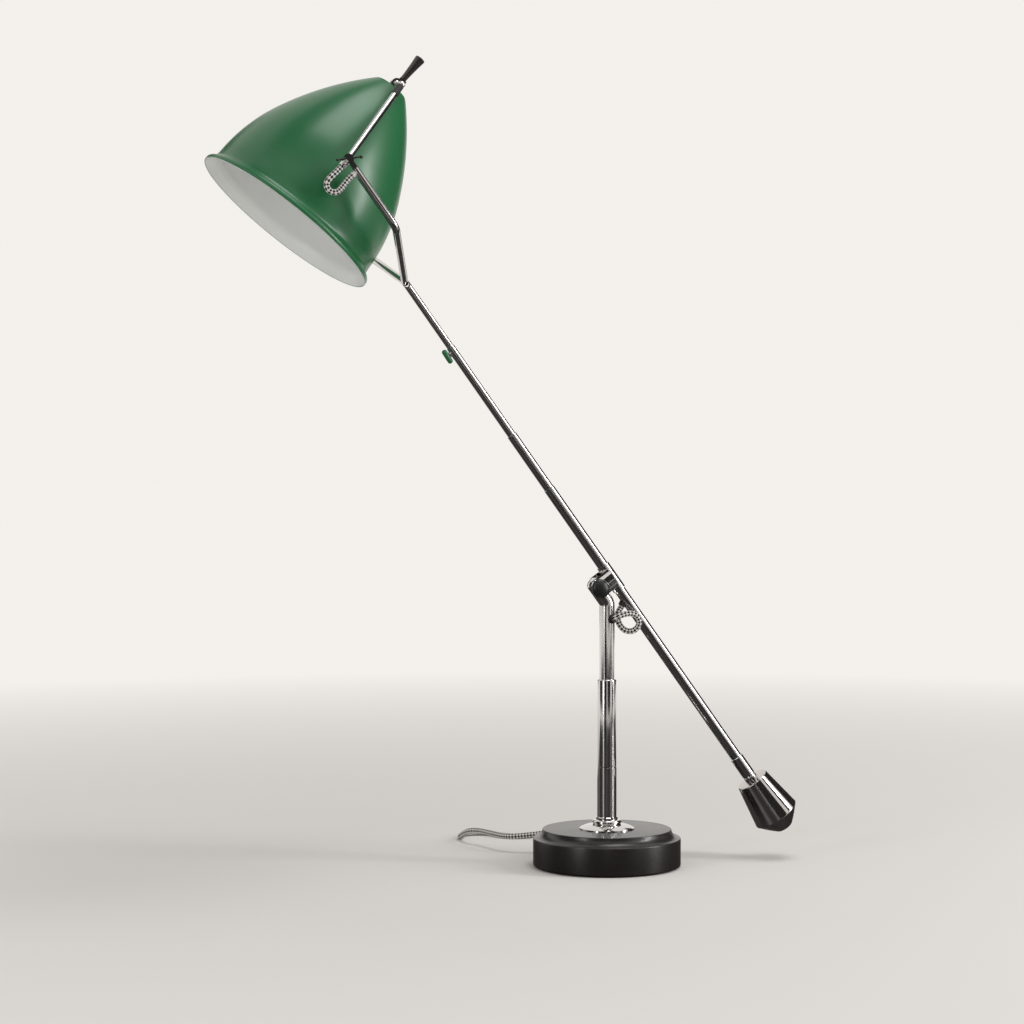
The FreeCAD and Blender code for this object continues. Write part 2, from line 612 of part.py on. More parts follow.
def make_post():
    """Flange, fixed foot, turning sleeve and the stem with its bent head."""
    top = D.base_height
    bead_low = top + D.flange_bead_height - 2
    hole = D.foot_radius + 0.05
    node(
        turned(
            [
                (hole, top),
                (D.flange_radius, top),
                (D.flange_radius, top + D.flange_edge, 26, False),
                (D.flange_bead_radius + 1.2, bead_low - 0.6),
                (D.flange_bead_radius - 0.6, bead_low, 2.05, False),
                (D.flange_bead_radius - 0.6, bead_low + 3.9),
                (D.flange_neck_radius, bead_low + 4.3),
                (D.flange_neck_radius, top + D.flange_height - 0.7),
                (D.flange_neck_radius - 0.7, top + D.flange_height),
                (hole, top + D.flange_height),
            ]
        ),
        "base_flange",
    )
    bore = D.foot_radius - D.foot_wall
    web_low, web_high = D.seam_height - 58, D.seam_height - 45
    tube = turned(
        [(bore, top), (D.foot_radius, top), (D.foot_radius, D.seam_height), (bore, D.seam_height)]
    )
    web = cut(
        cylinder(D.foot_radius - 0.2, web_low, web_high),
        cylinder(D.nipple_radius, top, D.seam_height),
    )
    node(fuse(tube, web), "post_foot_tube")
    spindle_radius = bore - 0.05
    spindle_bore = spindle_radius - D.spindle_wall
    running = spindle_radius + D.swivel_fit
    low = D.seam_height + D.washer_gap
    node(
        turned(
            [
                (spindle_bore, web_high),
                (spindle_radius, web_high),
                (spindle_radius, D.spindle_top),
                (spindle_bore, D.spindle_top),
            ]
        ),
        "swivel_spindle",
    )
    rim = D.sleeve_radius - 0.4
    node(
        turned([(running, D.seam_height), (rim, D.seam_height), (rim, low), (running, low)]),
        "swivel_washer",
    )
    node(
        turned(
            [
                (running, low),
                (D.sleeve_radius - 0.3, low),
                (D.sleeve_radius, low + 0.3),
                (D.sleeve_radius, D.shoulder_height - D.shoulder_round, D.shoulder_round, False),
                (D.sleeve_radius - D.shoulder_round, D.shoulder_height),
                (D.stem_radius + 0.03, D.shoulder_height),
                (D.stem_radius + 0.03, D.stem_seat),
                (running, D.stem_seat),
            ]
        ),
        "post_sleeve",
    )
    nut = cylinder(running - 0.3, D.spindle_top, D.stem_seat - 1.5)
    node(cut(nut, cylinder(spindle_bore, 0, D.shoulder_height)), "swivel_retaining_nut")

    # the bent head is parallel to the arm at rest, and its axis crosses the tilt axis
    reach = -D.tilt_x / sine(D.arm_angle) + D.head_reach
    corner = D.tilt_z + D.tilt_x / tangent(D.arm_angle) - D.stem_seat
    stem = bent_tube(
        [
            (0, 0),
            (0, corner),
            (-(reach * sine(D.arm_angle)), corner + reach * cosine(D.arm_angle)),
        ],
        D.stem_bend,
        D.stem_radius,
        D.stem_radius - D.stem_wall,
    )
    place(stem, 0, 0, D.stem_seat)
    bush_way = crossways(D.bush_radius, -20, 20, D.tilt_x, D.tilt_z)
    lead_way = along(cylinder(D.lead_radius + 0.6, 0, 20), LEAD_OUT, LEAD_OUT_WAY)
    node(cut(stem, bush_way, lead_way), "post_stem")
    collar = along(cylinder(D.lead_radius + 1.4, 0, 6.2), LEAD_OUT, LEAD_OUT_WAY)
    collar_bore = along(cylinder(D.lead_radius + 0.2, 0, 20), LEAD_OUT, LEAD_OUT_WAY)
    post = cylinder(D.stem_radius + 0.02, 0, D.tilt_z)
    node(cut(collar, collar_bore, post), "post_grommet")

    head = Frame(D.tilt_x, D.tilt_z, -D.arm_angle)
    wall = D.stem_radius - D.stem_wall - 0.05
    crown = D.stem_radius * D.stem_radius + D.head_cap_height * D.head_cap_height
    skirt = D.head_reach - 1.2
    node(
        turned(
            [
                (0, skirt),
                (wall, skirt),
                (wall, D.head_reach),
                (D.stem_radius, D.head_reach, crown / (D.head_cap_height * 2), False),
                (0, D.head_reach + D.head_cap_height),
            ]
        ),
        "post_head_cap",
        head,
    )
    half = D.stem_radius + 0.1
    bush = crossways(D.bush_radius - 0.02, -half, half)
    node(cut(bush, crossways(D.bolt_radius + D.tilt_fit, -20, 20)), "tilt_bush", head)


# ---------------------------------------------------------------- arm
LEAD_IN_AT = -27  # the lead's hole in the arm, from the tilt axis
LEAD_IN_WAY = Vector(0.88, 0, 0.46)


def arm_tube(label, radius, bore, low, high):
    tube = turned([(bore, low), (radius, low), (radius, high), (bore, high)])
    return node(tube, label, ARM)


def make_arm():
    """Tee with its clamp, the telescoping tubes and the counterweight."""
    x_tilt = -D.arm_offset
    neck = sideways(D.tee_neck_radius, x_tilt - D.tee_end - 1, 0)
    half = D.tee_half_width
    end = (half * half + D.tee_end * D.tee_end) / (D.tee_end * 2)
    sides = plate(
        [
            (0, -half - 1.6),
            (0, half + 1.6),
            (x_tilt * 0.5, half),
            (x_tilt, half, end, True),
            (x_tilt, -half),
            (x_tilt * 0.5, -half),
        ],
        D.cheek_outer,
    )
    sleeve = cylinder(D.tee_sleeve_radius, -D.tee_sleeve_half, D.tee_sleeve_half)
    slot = block((x_tilt * 2, x_tilt + 11.5), (-D.cheek_gap, D.cheek_gap), (-30, 30))
    bolt_way = crossways(D.bolt_radius + 0.1, -30, 30, x_tilt)
    arm_way = cylinder(D.arm_radius + 0.05, -40, 40)
    node(cut(fuse(common(neck, sides), sleeve), slot, bolt_way, arm_way), "arm_tee", ARM)

    knob = DOC.addObject("Part::Ellipsoid", "Dome")
    bind(knob, "Radius1", D.knob_height)
    bind(knob, "Radius2", D.knob_half_width)
    bind(knob, "Radius3", D.knob_half_length)
    knob.Angle1 = -9
    seat = D.cheek_outer + 0.3
    place(knob, x_tilt, -(seat + D.knob_skirt), 0, X, 90)
    bolt_near = seat + D.knob_skirt + 1
    bolt_far = D.cheek_outer + D.cap_nut_height - 1.2
    node(cut(knob, crossways(D.bolt_radius, -bolt_near, 0, x_tilt)), "tilt_knob", ARM)
    node(crossways(D.bolt_radius, -bolt_near, bolt_far), "tilt_bolt", Frame(D.tilt_x, D.tilt_z))
    nut = DOC.addObject("Part::Prism", "Nut")
    nut.Polygon = 6
    bind(nut, "Circumradius", D.cap_nut_radius)
    bind(nut, "Height", D.cap_nut_height)
    place(nut, x_tilt, D.cheek_outer, 0, X, -90)
    crown = ball(D.cap_nut_radius + 1, x_tilt, D.cheek_outer - 1.2, 0)
    bolt = crossways(D.bolt_radius + 0.05, 0, bolt_far + 0.1, x_tilt)
    node(cut(common(nut, crown), bolt), "tilt_cap_nut", ARM)

    main = turned(
        [
            (D.arm_radius - D.arm_wall, -D.weight_top),
            (D.arm_radius, -D.weight_top),
            (D.arm_radius, D.arm_top - 0.4),
            (D.arm_radius - 0.4, D.arm_top),
            (D.arm_radius - D.arm_wall, D.arm_top),
        ]
    )
    start = Vector(0, 0, LEAD_IN_AT)
    lead_way = along(cylinder(D.lead_radius + 0.6, -20, 0), start, LEAD_IN_WAY)
    lead_way.Placement = Placement(start - LEAD_IN_WAY * 20, Rotation(Z, LEAD_IN_WAY))
    node(cut(main, lead_way), "arm_main_tube", ARM)
    collar = cylinder(D.lead_radius + 1.3, 0, 4)
    collar.Placement = Placement(start - LEAD_IN_WAY * 8.6, Rotation(Z, LEAD_IN_WAY))
    collar_bore = cylinder(D.lead_radius + 0.2, 0, 20)
    collar_bore.Placement = Placement(start - LEAD_IN_WAY * 20, Rotation(Z, LEAD_IN_WAY))
    shaft = cylinder(D.arm_radius + 0.02, -60, 0)
    node(cut(collar, collar_bore, shaft), "arm_grommet", ARM)

    step_low = D.arm_top - D.tube_overlap
    guide_low = D.step_top - D.tube_overlap
    arm_tube("arm_step_tube", D.step_radius, D.step_radius - D.step_wall, step_low, D.step_top)
    guide_bore = D.guide_radius - D.guide_wall
    guide = turned(
        [
            (guide_bore, guide_low),
            (D.guide_radius, guide_low),
            (D.guide_radius, D.guide_top),
            (guide_bore, D.guide_top),
        ]
    )
    boss = sideways(D.thumb_boss_radius, -D.thumb_boss_reach, 0, 0, D.thumb_station)
    way = cylinder(guide_bore, guide_low, D.guide_top)
    stem_way = sideways(D.thumb_stem_radius + 0.05, -20, 0, 0, D.thumb_station)
    node(cut(fuse(guide, boss), way, stem_way), "arm_guide_tube", ARM)

    groove = -D.weight_top + 5.5
    node(
        turned(
            [
                (D.arm_radius + 0.03, -D.weight_top),
                (D.ferrule_radius, -D.weight_top),
                (D.ferrule_radius, groove - 0.8),
                (D.ferrule_radius - 0.45, groove),
                (D.ferrule_radius, groove + 0.8),
                (D.ferrule_radius, -D.ferrule_top - 0.5),
                (D.ferrule_radius - 0.5, -D.ferrule_top),
                (D.arm_radius + 0.03, -D.ferrule_top),
            ]
        ),
        "counterweight_ferrule",
        ARM,
    )
    spigot = D.arm_radius - D.arm_wall - 0.05
    spigot_low = -D.weight_top - D.spigot_depth
    node(cylinder(spigot, spigot_low, -D.weight_top + 12), "counterweight_spigot", ARM)
    node(
        turned(
            [
                (0, -D.weight_end - 0.7),
                (D.weight_end_radius, -D.weight_end, 26, False),
                (D.weight_wide_radius - 0.9, -D.weight_wide - 0.9, 1.15, False),
                (D.weight_wide_radius - 0.1, -D.weight_wide + 1.2),
                (D.weight_top_radius + 0.5, -D.weight_top - 0.8),
                (D.weight_top_radius - 0.4, -D.weight_top),
                (spigot + 0.02, -D.weight_top),
                (spigot + 0.02, spigot_low),
                (0, spigot_low),
            ]
        ),
        "counterweight",
        ARM,
    )


def make_thumbscrew():
    """Small screw that holds the telescoping tube."""
    stem = sideways(D.thumb_stem_radius, -D.thumb_reach, -D.head_tube_radius - 0.05, 0, D.thumb_station)
    wing = fuse(
        cylinder(D.thumb_wing_radius, -D.thumb_wing_half, D.thumb_wing_half),
        ball(D.thumb_wing_radius, 0, 0, D.thumb_wing_half),
        ball(D.thumb_wing_radius, 0, 0, -D.thumb_wing_half),
    )
    place(wing, -D.thumb_reach, 0, D.thumb_station, X, D.thumb_wing_lean)
    node(cut(wing, stem), "thumbscrew_wing", ARM)
    again = sideways(D.thumb_stem_radius, -D.thumb_reach, -D.head_tube_radius - 0.05, 0, D.thumb_station)
    node(again, "thumbscrew_stem", ARM)


# ---------------------------------------------------------------- head tube and fork
ROOT_LAP = 8  # each prong is drawn from this far across the mid plane, then trimmed at it


def from_root(thing, side):
    """Put a thing that was made up +Z along the first run of a prong."""
    y = sine(D.fork_spread) * (-ROOT_LAP * side)
    return place(thing, 0, y, D.fork_root - cosine(D.fork_spread) * ROOT_LAP, X, D.fork_spread * -side)


def make_fork():
    """Sliding tube with the fork and its eyes."""
    inner_end = D.guide_top - D.head_tube_in
    bore = D.head_tube_bore
    tube = turned(
        [
            (bore, inner_end),
            (D.head_tube_radius, inner_end),
            (D.head_tube_radius, D.fork_root),
            (bore, D.fork_root),
        ]
    )
    notches = []
    for side in (-1, 1):
        notches.append(from_root(cylinder(D.head_tube_radius + 0.05, 0, 30), side))
    node(cut(tube, *notches), "head_tube", ARM)
    bush = cylinder(D.guide_radius - D.guide_wall - 0.05, inner_end - 5, inner_end)
    node(cut(bush, cylinder(bore, 0, D.fork_root)), "guide_bush", ARM)

    first = D.fork_half / sine(D.fork_spread)
    second = D.fork_tip - D.prong_end - D.fork_root - D.fork_half / tangent(D.fork_spread)
    for side, name in ((-1, "near"), (1, "far")):
        prong = bent_tube(
            [
                (0, 0),
                (0, first + ROOT_LAP),
                (second * sine(D.fork_spread) * -side, first + ROOT_LAP + second * cosine(D.fork_spread)),
            ],
            D.fork_bend_radius,
            D.head_tube_radius,
            bore,
            "YZ_Plane",
        )
        from_root(prong, side)
        past = block((-20, 20), (0, 40) if side < 0 else (-40, 0), (300, 400))
        tools = [past]
        if side < 0:
            hole = D.lead_radius + 0.6
            tools.append(sideways(hole, -20, 0, -D.fork_half, D.fork_tip - 14.5))
        node(cut(prong, *tools), "fork_prong_" + name, ARM)

        inner = D.fork_half - 0.1
        outer = inner + D.eye_thickness
        span = (inner, outer) if side > 0 else (-outer, -inner)
        disc = crossways(D.eye_radius, span[0], span[1], 0, D.fork_tip)
        tongue = block((-2.4, 2.4), span, (D.fork_tip - D.prong_end, D.fork_tip))
        parts = [disc, tongue]
        if side > 0:
            low = D.fork_tip - D.prong_end - 7
            plug = cylinder(bore - 0.05, low, low + 8, 0, D.fork_half)
            parts.append(cut(plug, crossways(D.eye_radius + 1, 0, inner, 0, D.fork_tip)))
        screw_way = crossways(D.pivot_radius + 0.05, -outer - 1, outer + 1, 0, D.fork_tip)
        node(cut(fuse(*parts), screw_way), "fork_eye_" + name, ARM)


def make_pivot_screws():
    """Screws of the two side pivots; the near one is turned by a small sliding bar."""
    inner = D.fork_half - 0.1
    outer = inner + D.eye_thickness
    tip = inner - D.eye_gap - D.eye_thickness
    pivot = Frame(SIDE_PIVOT[0], SIDE_PIVOT[1])
    bar_at = outer + D.pivot_head_height / 2 + 0.2
    shank = crossways(D.pivot_radius, -outer - 1, -tip)
    head = crossways(D.pivot_head, -outer - 0.2 - D.pivot_head_height, -outer - 0.2)
    bar_way = group(cylinder(D.tommy_radius + 0.05, -10, 10))
    place(bar_way, 0, -bar_at, 0, Y, D.tommy_angle)
    node(cut(fuse(shank, head), bar_way), "tommy_screw", pivot)
    bar = fuse(
        cylinder(D.tommy_radius, -D.tommy_half, D.tommy_half),
        ball(D.tommy_ball, 0, 0, D.tommy_half),
        ball(D.tommy_ball, 0, 0, -D.tommy_half),
    )
    node(place(bar, pivot.x, -bar_at, pivot.z, Y, D.tommy_angle), "tommy_bar")
    shank = crossways(D.pivot_radius, tip, outer + 1)
    head = crossways(D.pivot_head, outer + 0.1, outer + 0.1 + D.pivot_head_height * 0.75)
    slot = block((-0.4, 0.4), (outer + 1.6, outer + 10), (-10, 10))
    node(cut(fuse(shank, head), slot), "far_pivot_screw", pivot)


# ---------------------------------------------------------------- yoke
def rod_point(reach):
    """A rod's distance from the mid plane at a reach along the yoke."""
    return D.rod_half - tangent(D.rod_lean) * reach


def rod_piece(side, radius, low, high):
    """A cylinder on a rod's axis, between two distances from the side pivot."""
    c = DOC.addObject("Part::Cylinder", "RodPiece")
    bind(c, "Radius", radius)
    bind(c, "Height", Dim.of(high) - low)
    start = Dim.of(low)
    shift = D.rod_half - start * sine(D.rod_lean)
    return place(c, 0, shift * side, start * cosine(D.rod_lean), X, D.rod_lean * side)


def make_yoke():
    """Two rods from the side pivots to a clamp, which holds the shade's stud and the handle."""
    low = D.rod_start / cosine(D.rod_lean)
    high = D.rod_top / cosine(D.rod_lean)
    rod_high = high - D.knuckle_radius - 0.02
    inner = D.fork_half - 0.1 - D.eye_gap - D.eye_thickness
    outer = inner + D.eye_thickness
    sleeves = []
    for side, name in ((-1, "near"), (1, "far")):
        rod = rod_piece(side, D.rod_radius, low, rod_high)
        node(cut(rod, rod_piece(side, D.rod_bore, low - 1, rod_high + 1)), "yoke_rod_" + name, YOKE)
        sleeve = rod_piece(side, D.rod_radius + D.rod_sleeve_wall, rod_high - D.rod_sleeve_length, rod_high)
        sleeves.append(cut(sleeve, rod_piece(side, D.rod_radius + 0.01, low, high)))
        span = (inner, outer) if side > 0 else (-outer, -inner)
        disc = crossways(D.eye_radius, span[0], span[1])
        neck = rod_piece(side, D.rod_radius, 1.5, low)
        plug = rod_piece(side, D.rod_bore - 0.03, low - 1, low + 9)
        parts = [disc, neck, plug]
        tools = [crossways(D.pivot_radius + 0.05, -150, 150)]
        past = (outer, outer + 30) if side > 0 else (-outer - 30, -outer)
        if side > 0:
            tools.append(block((-20, 20), past, (-20, 20)))
        else:
            way = D.rod_half + 0.5
            end = D.eye_radius + D.outlet_length - 1.3
            outlet = cut(
                cylinder(D.outlet_radius, -end, -D.eye_radius + 1.3, 0, -way),
                crossways(D.eye_radius + 1.6, -150, -outer),
            )
            parts = [cut(fuse(disc, neck, plug), block((-20, 20), past, (-20, 20))), outlet]
            tools.append(cylinder(D.lead_radius + 0.02, -end - 1, -end + 2.6, 0, -way))
        node(cut(fuse(*parts), *tools), "yoke_shoe_" + name, YOKE)
    node(group(*sleeves), "rod_sleeves", YOKE)

    knuckle = rod_point(D.rod_top)
    jaws, eyes = [], []
    for side in (-1, 1):
        span = (D.jaw_inner, D.jaw_outer) if side > 0 else (-D.jaw_outer, -D.jaw_inner)
        jaws.append(crossways(D.jaw_radius, span[0], span[1], D.hinge_x, D.hinge_reach))
        jaws.append(block((-D.boss_half, D.boss_half), span, (D.rod_top, D.boss_top)))
        far = (D.jaw_inner, knuckle) if side > 0 else (-knuckle, -D.jaw_inner)
        jaws.append(crossways(D.crossbar_radius, far[0], far[1], 0, D.rod_top))
        jaws.append(ball(D.knuckle_radius, 0, knuckle * side, D.rod_top))
        eyes.append(rod_piece(side, D.rod_bore - 0.03, high - 9, high))
    boss = block(
        (-D.boss_half, D.boss_half), (-D.jaw_outer, D.jaw_outer), (D.boss_bottom, D.boss_top)
    )
    pin_way = crossways(D.hinge_screw_radius + 0.05, -20, 20, D.hinge_x, D.hinge_reach)
    head_way = crossways(
        D.hinge_screw_head + 0.05, -D.jaw_outer - 4, -D.jaw_outer, D.hinge_x, D.hinge_reach
    )
    trim = cut(fuse(boss, *jaws), pin_way, head_way)
    node(fuse(trim, *eyes), "top_clamp", YOKE)
    screw = fuse(
        crossways(D.hinge_screw_radius, -D.jaw_outer, D.jaw_outer),
        common(
            ball(D.hinge_screw_head + 0.4, 0, -D.jaw_outer + 1.6, 0),
            crossways(D.hinge_screw_head, -D.jaw_outer - 4, -D.jaw_outer),
        ),
    )
    node(screw, "hinge_screw", Frame(HINGE[0], HINGE[1], D.yoke_angle))
    top = D.boss_top
    large = D.handle_large
    crown = (large * large + D.handle_crown * D.handle_crown) / (D.handle_crown * 2)
    node(
        turned(
            [
                (0, top),
                (D.handle_small - 0.3, top),
                (D.handle_small, top + 0.3),
                (large, top + D.handle_length - 0.6),
                (large, top + D.handle_length, crown, False),
                (0, top + D.handle_length + D.handle_crown),
            ]
        ),
        "handle",
        YOKE,
    )


# ---------------------------------------------------------------- shade
def make_shade():
    """Spun shade with its cap, stud, lamp holder and bulb."""
    wall = D.shade_wall
    flat = D.shade_height - D.cap_plate
    hip = (D.shade_hip - wall * 0.91, D.shade_hip_at - wall * 0.41)
    flat_radius = D.shade_cap_radius + 1.1
    node(
        turned(
            [
                (D.lip_radius, 0),
                (D.lip_radius, D.lip_band, 5.6, False),
                (D.shade_wide + 1.9, D.lip_height),
                (D.shade_wide + 0.3, D.lip_height + 2),
                (D.shade_wide, D.shade_wide_at, D.shade_side_curve, False),
                (D.shade_hip, D.shade_hip_at, D.shade_dome_curve, False),
                (flat_radius, flat),
                (6, flat),
                (6, flat - wall),
                (flat_radius - 0.4, flat - wall, D.shade_dome_curve - wall, True),
                (hip[0], hip[1], D.shade_side_curve - wall, True),
                (D.shade_wide - wall, D.shade_wide_at),
                (D.shade_wide + 0.3 - wall, D.lip_height + 1.6),
                (D.shade_wide + 1.6 - wall, D.lip_height - 0.8, 4.6, True),
                (D.lip_radius - wall, D.lip_band),
                (D.lip_radius - wall, 0),
            ]
        ),
        "shade_shell",
        SHADE,
    )
    lean = D.yoke_angle - D.shade_angle
    stud_x = D.hinge_x * cosine(lean) + D.hinge_reach * sine(lean)
    stud_z = D.shade_pivot - D.hinge_x * sine(lean) + D.hinge_reach * cosine(lean)
    rim = D.shade_cap_radius
    node(
        turned(
            [
                (0, flat),
                (rim, flat),
                (rim, D.shade_height - 0.5),
                (rim - 0.5, D.shade_height),
                (0, D.shade_height),
            ]
        ),
        "shade_cap",
        SHADE,
    )
    half = D.stud_half
    eye = crossways(D.stud_ball, -half, half, stud_x, stud_z)
    neck = cylinder(D.stud_radius, D.shade_height, stud_z, stud_x, 0)
    pin_way = crossways(D.hinge_screw_radius + 0.1, -20, 20, stud_x, stud_z)
    node(cut(fuse(eye, neck), pin_way), "shade_stud", SHADE)

    ceiling = flat - wall
    low = ceiling - D.holder_length
    cup = cut(
        fuse(
            cylinder(D.holder_radius, low, ceiling),
            cylinder(D.holder_ring_radius, low + 9, low + 9 + D.holder_ring_height),
            cylinder(5.9, ceiling, flat),
        ),
        cylinder(D.bulb_cap_radius + 0.1, low - 1, low + D.bulb_cap_length - 6),
    )
    node(cup, "lampholder", SHADE)
    neck_top = low - 6
    node(cylinder(D.bulb_cap_radius, neck_top, neck_top + D.bulb_cap_length), "bulb_cap", SHADE)
    bottom = neck_top - D.bulb_length
    skin = 0.9
    middle = bottom + D.bulb_radius
    inside = D.bulb_radius - skin
    node(
        turned(
            [
                (0, bottom, D.bulb_radius, False),
                (D.bulb_radius, middle, D.bulb_radius, False),
                (D.bulb_radius * 0.87, middle + D.bulb_radius * 0.493),
                (D.bulb_neck_radius, neck_top - 7),
                (D.bulb_neck_radius, neck_top),
                (0, neck_top),
                (0, neck_top - skin),
                (D.bulb_neck_radius - skin, neck_top - skin),
                (D.bulb_neck_radius - skin, neck_top - 7),
                (inside * 0.87, middle + inside * 0.493, inside, True),
                (inside, middle, inside, True),
                (0, bottom + skin),
            ]
        ),
        "bulb_glass",
        SHADE,
    )


# ---------------------------------------------------------------- leads
def rounded_route(points):
    """Straight runs through the points, joined by arcs that touch both runs; also the arcs' radii."""
    edges, radii = [], []
    start = points[0]
    for before, corner, after in zip(points, points[1:], points[2:]):
        u, w = (corner - before), (after - corner)
        shorter = min(u.Length, w.Length)
        turn = u.getAngle(w)
        u.normalize()
        w.normalize()
        back = 0.45 * shorter
        radius = back / math.tan(turn / 2)
        a, b = corner - u * back, corner + w * back
        way = (w - u).normalize()
        centre = corner + way * (radius / math.cos(turn / 2))
        edges.append(Part.LineSegment(start, a).toShape())
        edges.append(Part.Arc(a, centre - way * radius, b).toShape())
        radii.append(radius)
        start = b
    edges.append(Part.LineSegment(start, points[-1]).toShape())
    return edges, radii


def sleeve_of(edges, radius):
    """A round tube, solid, along edges that follow each other smoothly."""
    wire = Part.Wire(edges)
    first = edges[0]
    start = first.valueAt(first.FirstParameter)
    way = first.tangentAt(first.FirstParameter)
    ring = Part.Wire([Part.Circle(start, way, radius).toShape()])
    shell = Part.BRepOffsetAPI.MakePipeShell(wire)
    shell.add(ring)
    shell.build()
    shell.makeSolid()
    return shell.shape()


def lead(label, edges, radii=()):
    """A stretch of the lead as a piece of the lamp."""
    thing = DOC.addObject("Part::Feature", label)
    thing.Shape = sleeve_of(edges, D.lead_radius.value)
    node(thing, label)
    length = sum(e.Length for e in edges)
    section = math.pi * D.lead_radius.value**2
    print("{}: {:.0f} mm, volume / (section x length) {:.4f}".format(label, length, thing.Shape.Volume / section / length))
    if radii:
        print("   radii", " ".join("{:.1f}".format(r) for r in radii))
    return thing


POST_LOOP = [
    (1.5, -4, 250.5),
    (6.3, -11.7, 253.5),
    (13, -13, 256.6),
    (20.5, -12.8, 257.9),
    (27.4, -12.2, 255.6),
    (31.2, -11.2, 249.9),
    (30.3, -9.4, 243.2),
    (25, -6.6, 238.6),
    (18.2, -3.6, 239.2),
    (13.4, -1.2, 244.2),
    (11.2, -0.2, 250.8),
    (11, 0, 257.2),
]
HEAD_LOOP = [
    (-308.8, -98.5, 676),
    (-309.5, -98.5, 670.2),
    (-306, -98.6, 665.6),
    (-300.2, -98.8, 664.9),
    (-295.6, -99.1, 668.4),
]
FLOOR_ROUTE = [
    (-42, 97, 20.3),
    (-56.5, 103.7, 18.2),
    (-74, 112.4, 16.2),
    (-83, 139.5, 16.4),
    (-89.2, 165.5, 16),
    (-97.6, 177.4, 14.3),
    (-99.4, 190.6, 10),
    (-101.3, 206.5, 3.05),
    (-88, 235.3, 3.05),
    (-59.2, 231.7, 3.05),
    (-53.3, 203, 3.05),
    (-31.2, 194, 3.05),
    (-6, 209.6, 3.05),
    (20.2, 224.4, 3.05),
]
COIL_CENTRE = Vector(56.2, 173.1, 0)
RIGHT = Vector(0.951, -0.309, 0)
BACK = Vector(0.309, 0.951, 0)
TAIL_ROUTE = [(50, 158, 9.5), (50, 139, 8.6), (50, 119, 7.2), (43, 107, 6.9), (31, 100, 6.9)]  # right, back, up


def lead_loops():
    """The two short loops of lead that the joints carry along."""
    into = Vector(ARM.x.value, 0, ARM.z.value)
    lean = Rotation(Y, -D.arm_angle.value)
    way = lean.multVec(LEAD_IN_WAY)
    hole = into + lean.multVec(Vector(0, 0, LEAD_IN_AT))
    points = [Vector(*p) for p in POST_LOOP] + [hole - way * 9, hole - way * 1.5]
    edges, radii = rounded_route(points)
    lead("post_loop", edges, radii)

    yoke = Rotation(Y, D.yoke_angle.value)
    pivot = Vector(SIDE_PIVOT[0].value, 0, SIDE_PIVOT[1].value)
    outlet = Vector(0, -D.rod_half.value - 0.5, 0)
    end = (D.eye_radius + D.outlet_length - 1.3).value
    first = [pivot + yoke.multVec(outlet - Z * reach) for reach in (end - 2.5, end + 4)]
    station = lean.multVec(Vector(0, -D.fork_half.value, D.fork_tip.value - 14.5))
    side = lean.multVec(X)
    last = [into + station - side * reach for reach in (9.5, 0.5)]
    edges, radii = rounded_route(first + [Vector(*p) for p in HEAD_LOOP] + last)
    lead("head_loop", edges, radii)


def biarc(p, t, q, s):
    """Two arcs from p, going along t, to q, going along s."""
    v = q - p
    both = t + s
    dot = v * both
    rest = 2 * (1 - t * s)
    reach = (-dot + math.sqrt(dot * dot + rest * (v * v))) / rest
    a, b = p + t * reach, q - s * reach
    joint = (a + b) * 0.5
    arcs = []
    for start, corner, stop in ((p, a, joint), (joint, b, q)):
        half = (stop - start).Length / 2
        middle = (start + stop) * 0.5
        turn = 2 * math.acos(min(1, half / reach))
        peak = (corner - middle).normalize() * (half * math.tan(turn / 4))
        arcs.append(Part.Arc(start, middle + peak, stop).toShape())
    return arcs


def coil_knots():
    """Places and ways along the coil at each quarter turn: in on the lower layer, out on the upper."""
    step = D.coil_pitch.value / 4
    low = D.lead_radius.value + 0.05
    lift = D.coil_layer.value
    radius, height = [], []
    for quarter in range(18):
        inward = min(quarter, 17 - quarter)
        radius.append(D.coil_outer.value - step * inward)
        climb = {8: 0.25, 9: 0.75}.get(quarter, 0 if quarter < 8 else 1)
        height.append(low + lift * climb)
    knots = []
    for quarter in range(18):
        turn = math.radians(90 - 90 * quarter)
        out = RIGHT * math.cos(turn) + BACK * math.sin(turn)
        onward = RIGHT * math.sin(turn) - BACK * math.cos(turn)
        before, after = max(quarter - 1, 0), min(quarter + 1, 17)
        span = (after - before) * math.pi / 2
        if quarter in (0, 17):
            way = onward
        else:
            rise = (height[after] - height[before]) / span
            swell = (radius[after] - radius[before]) / span
            way = onward * radius[quarter] + out * swell + Z * rise
        place_now = COIL_CENTRE + out * radius[quarter] + Z * height[quarter]
        knots.append((place_now, Vector(way).normalize()))
    return knots


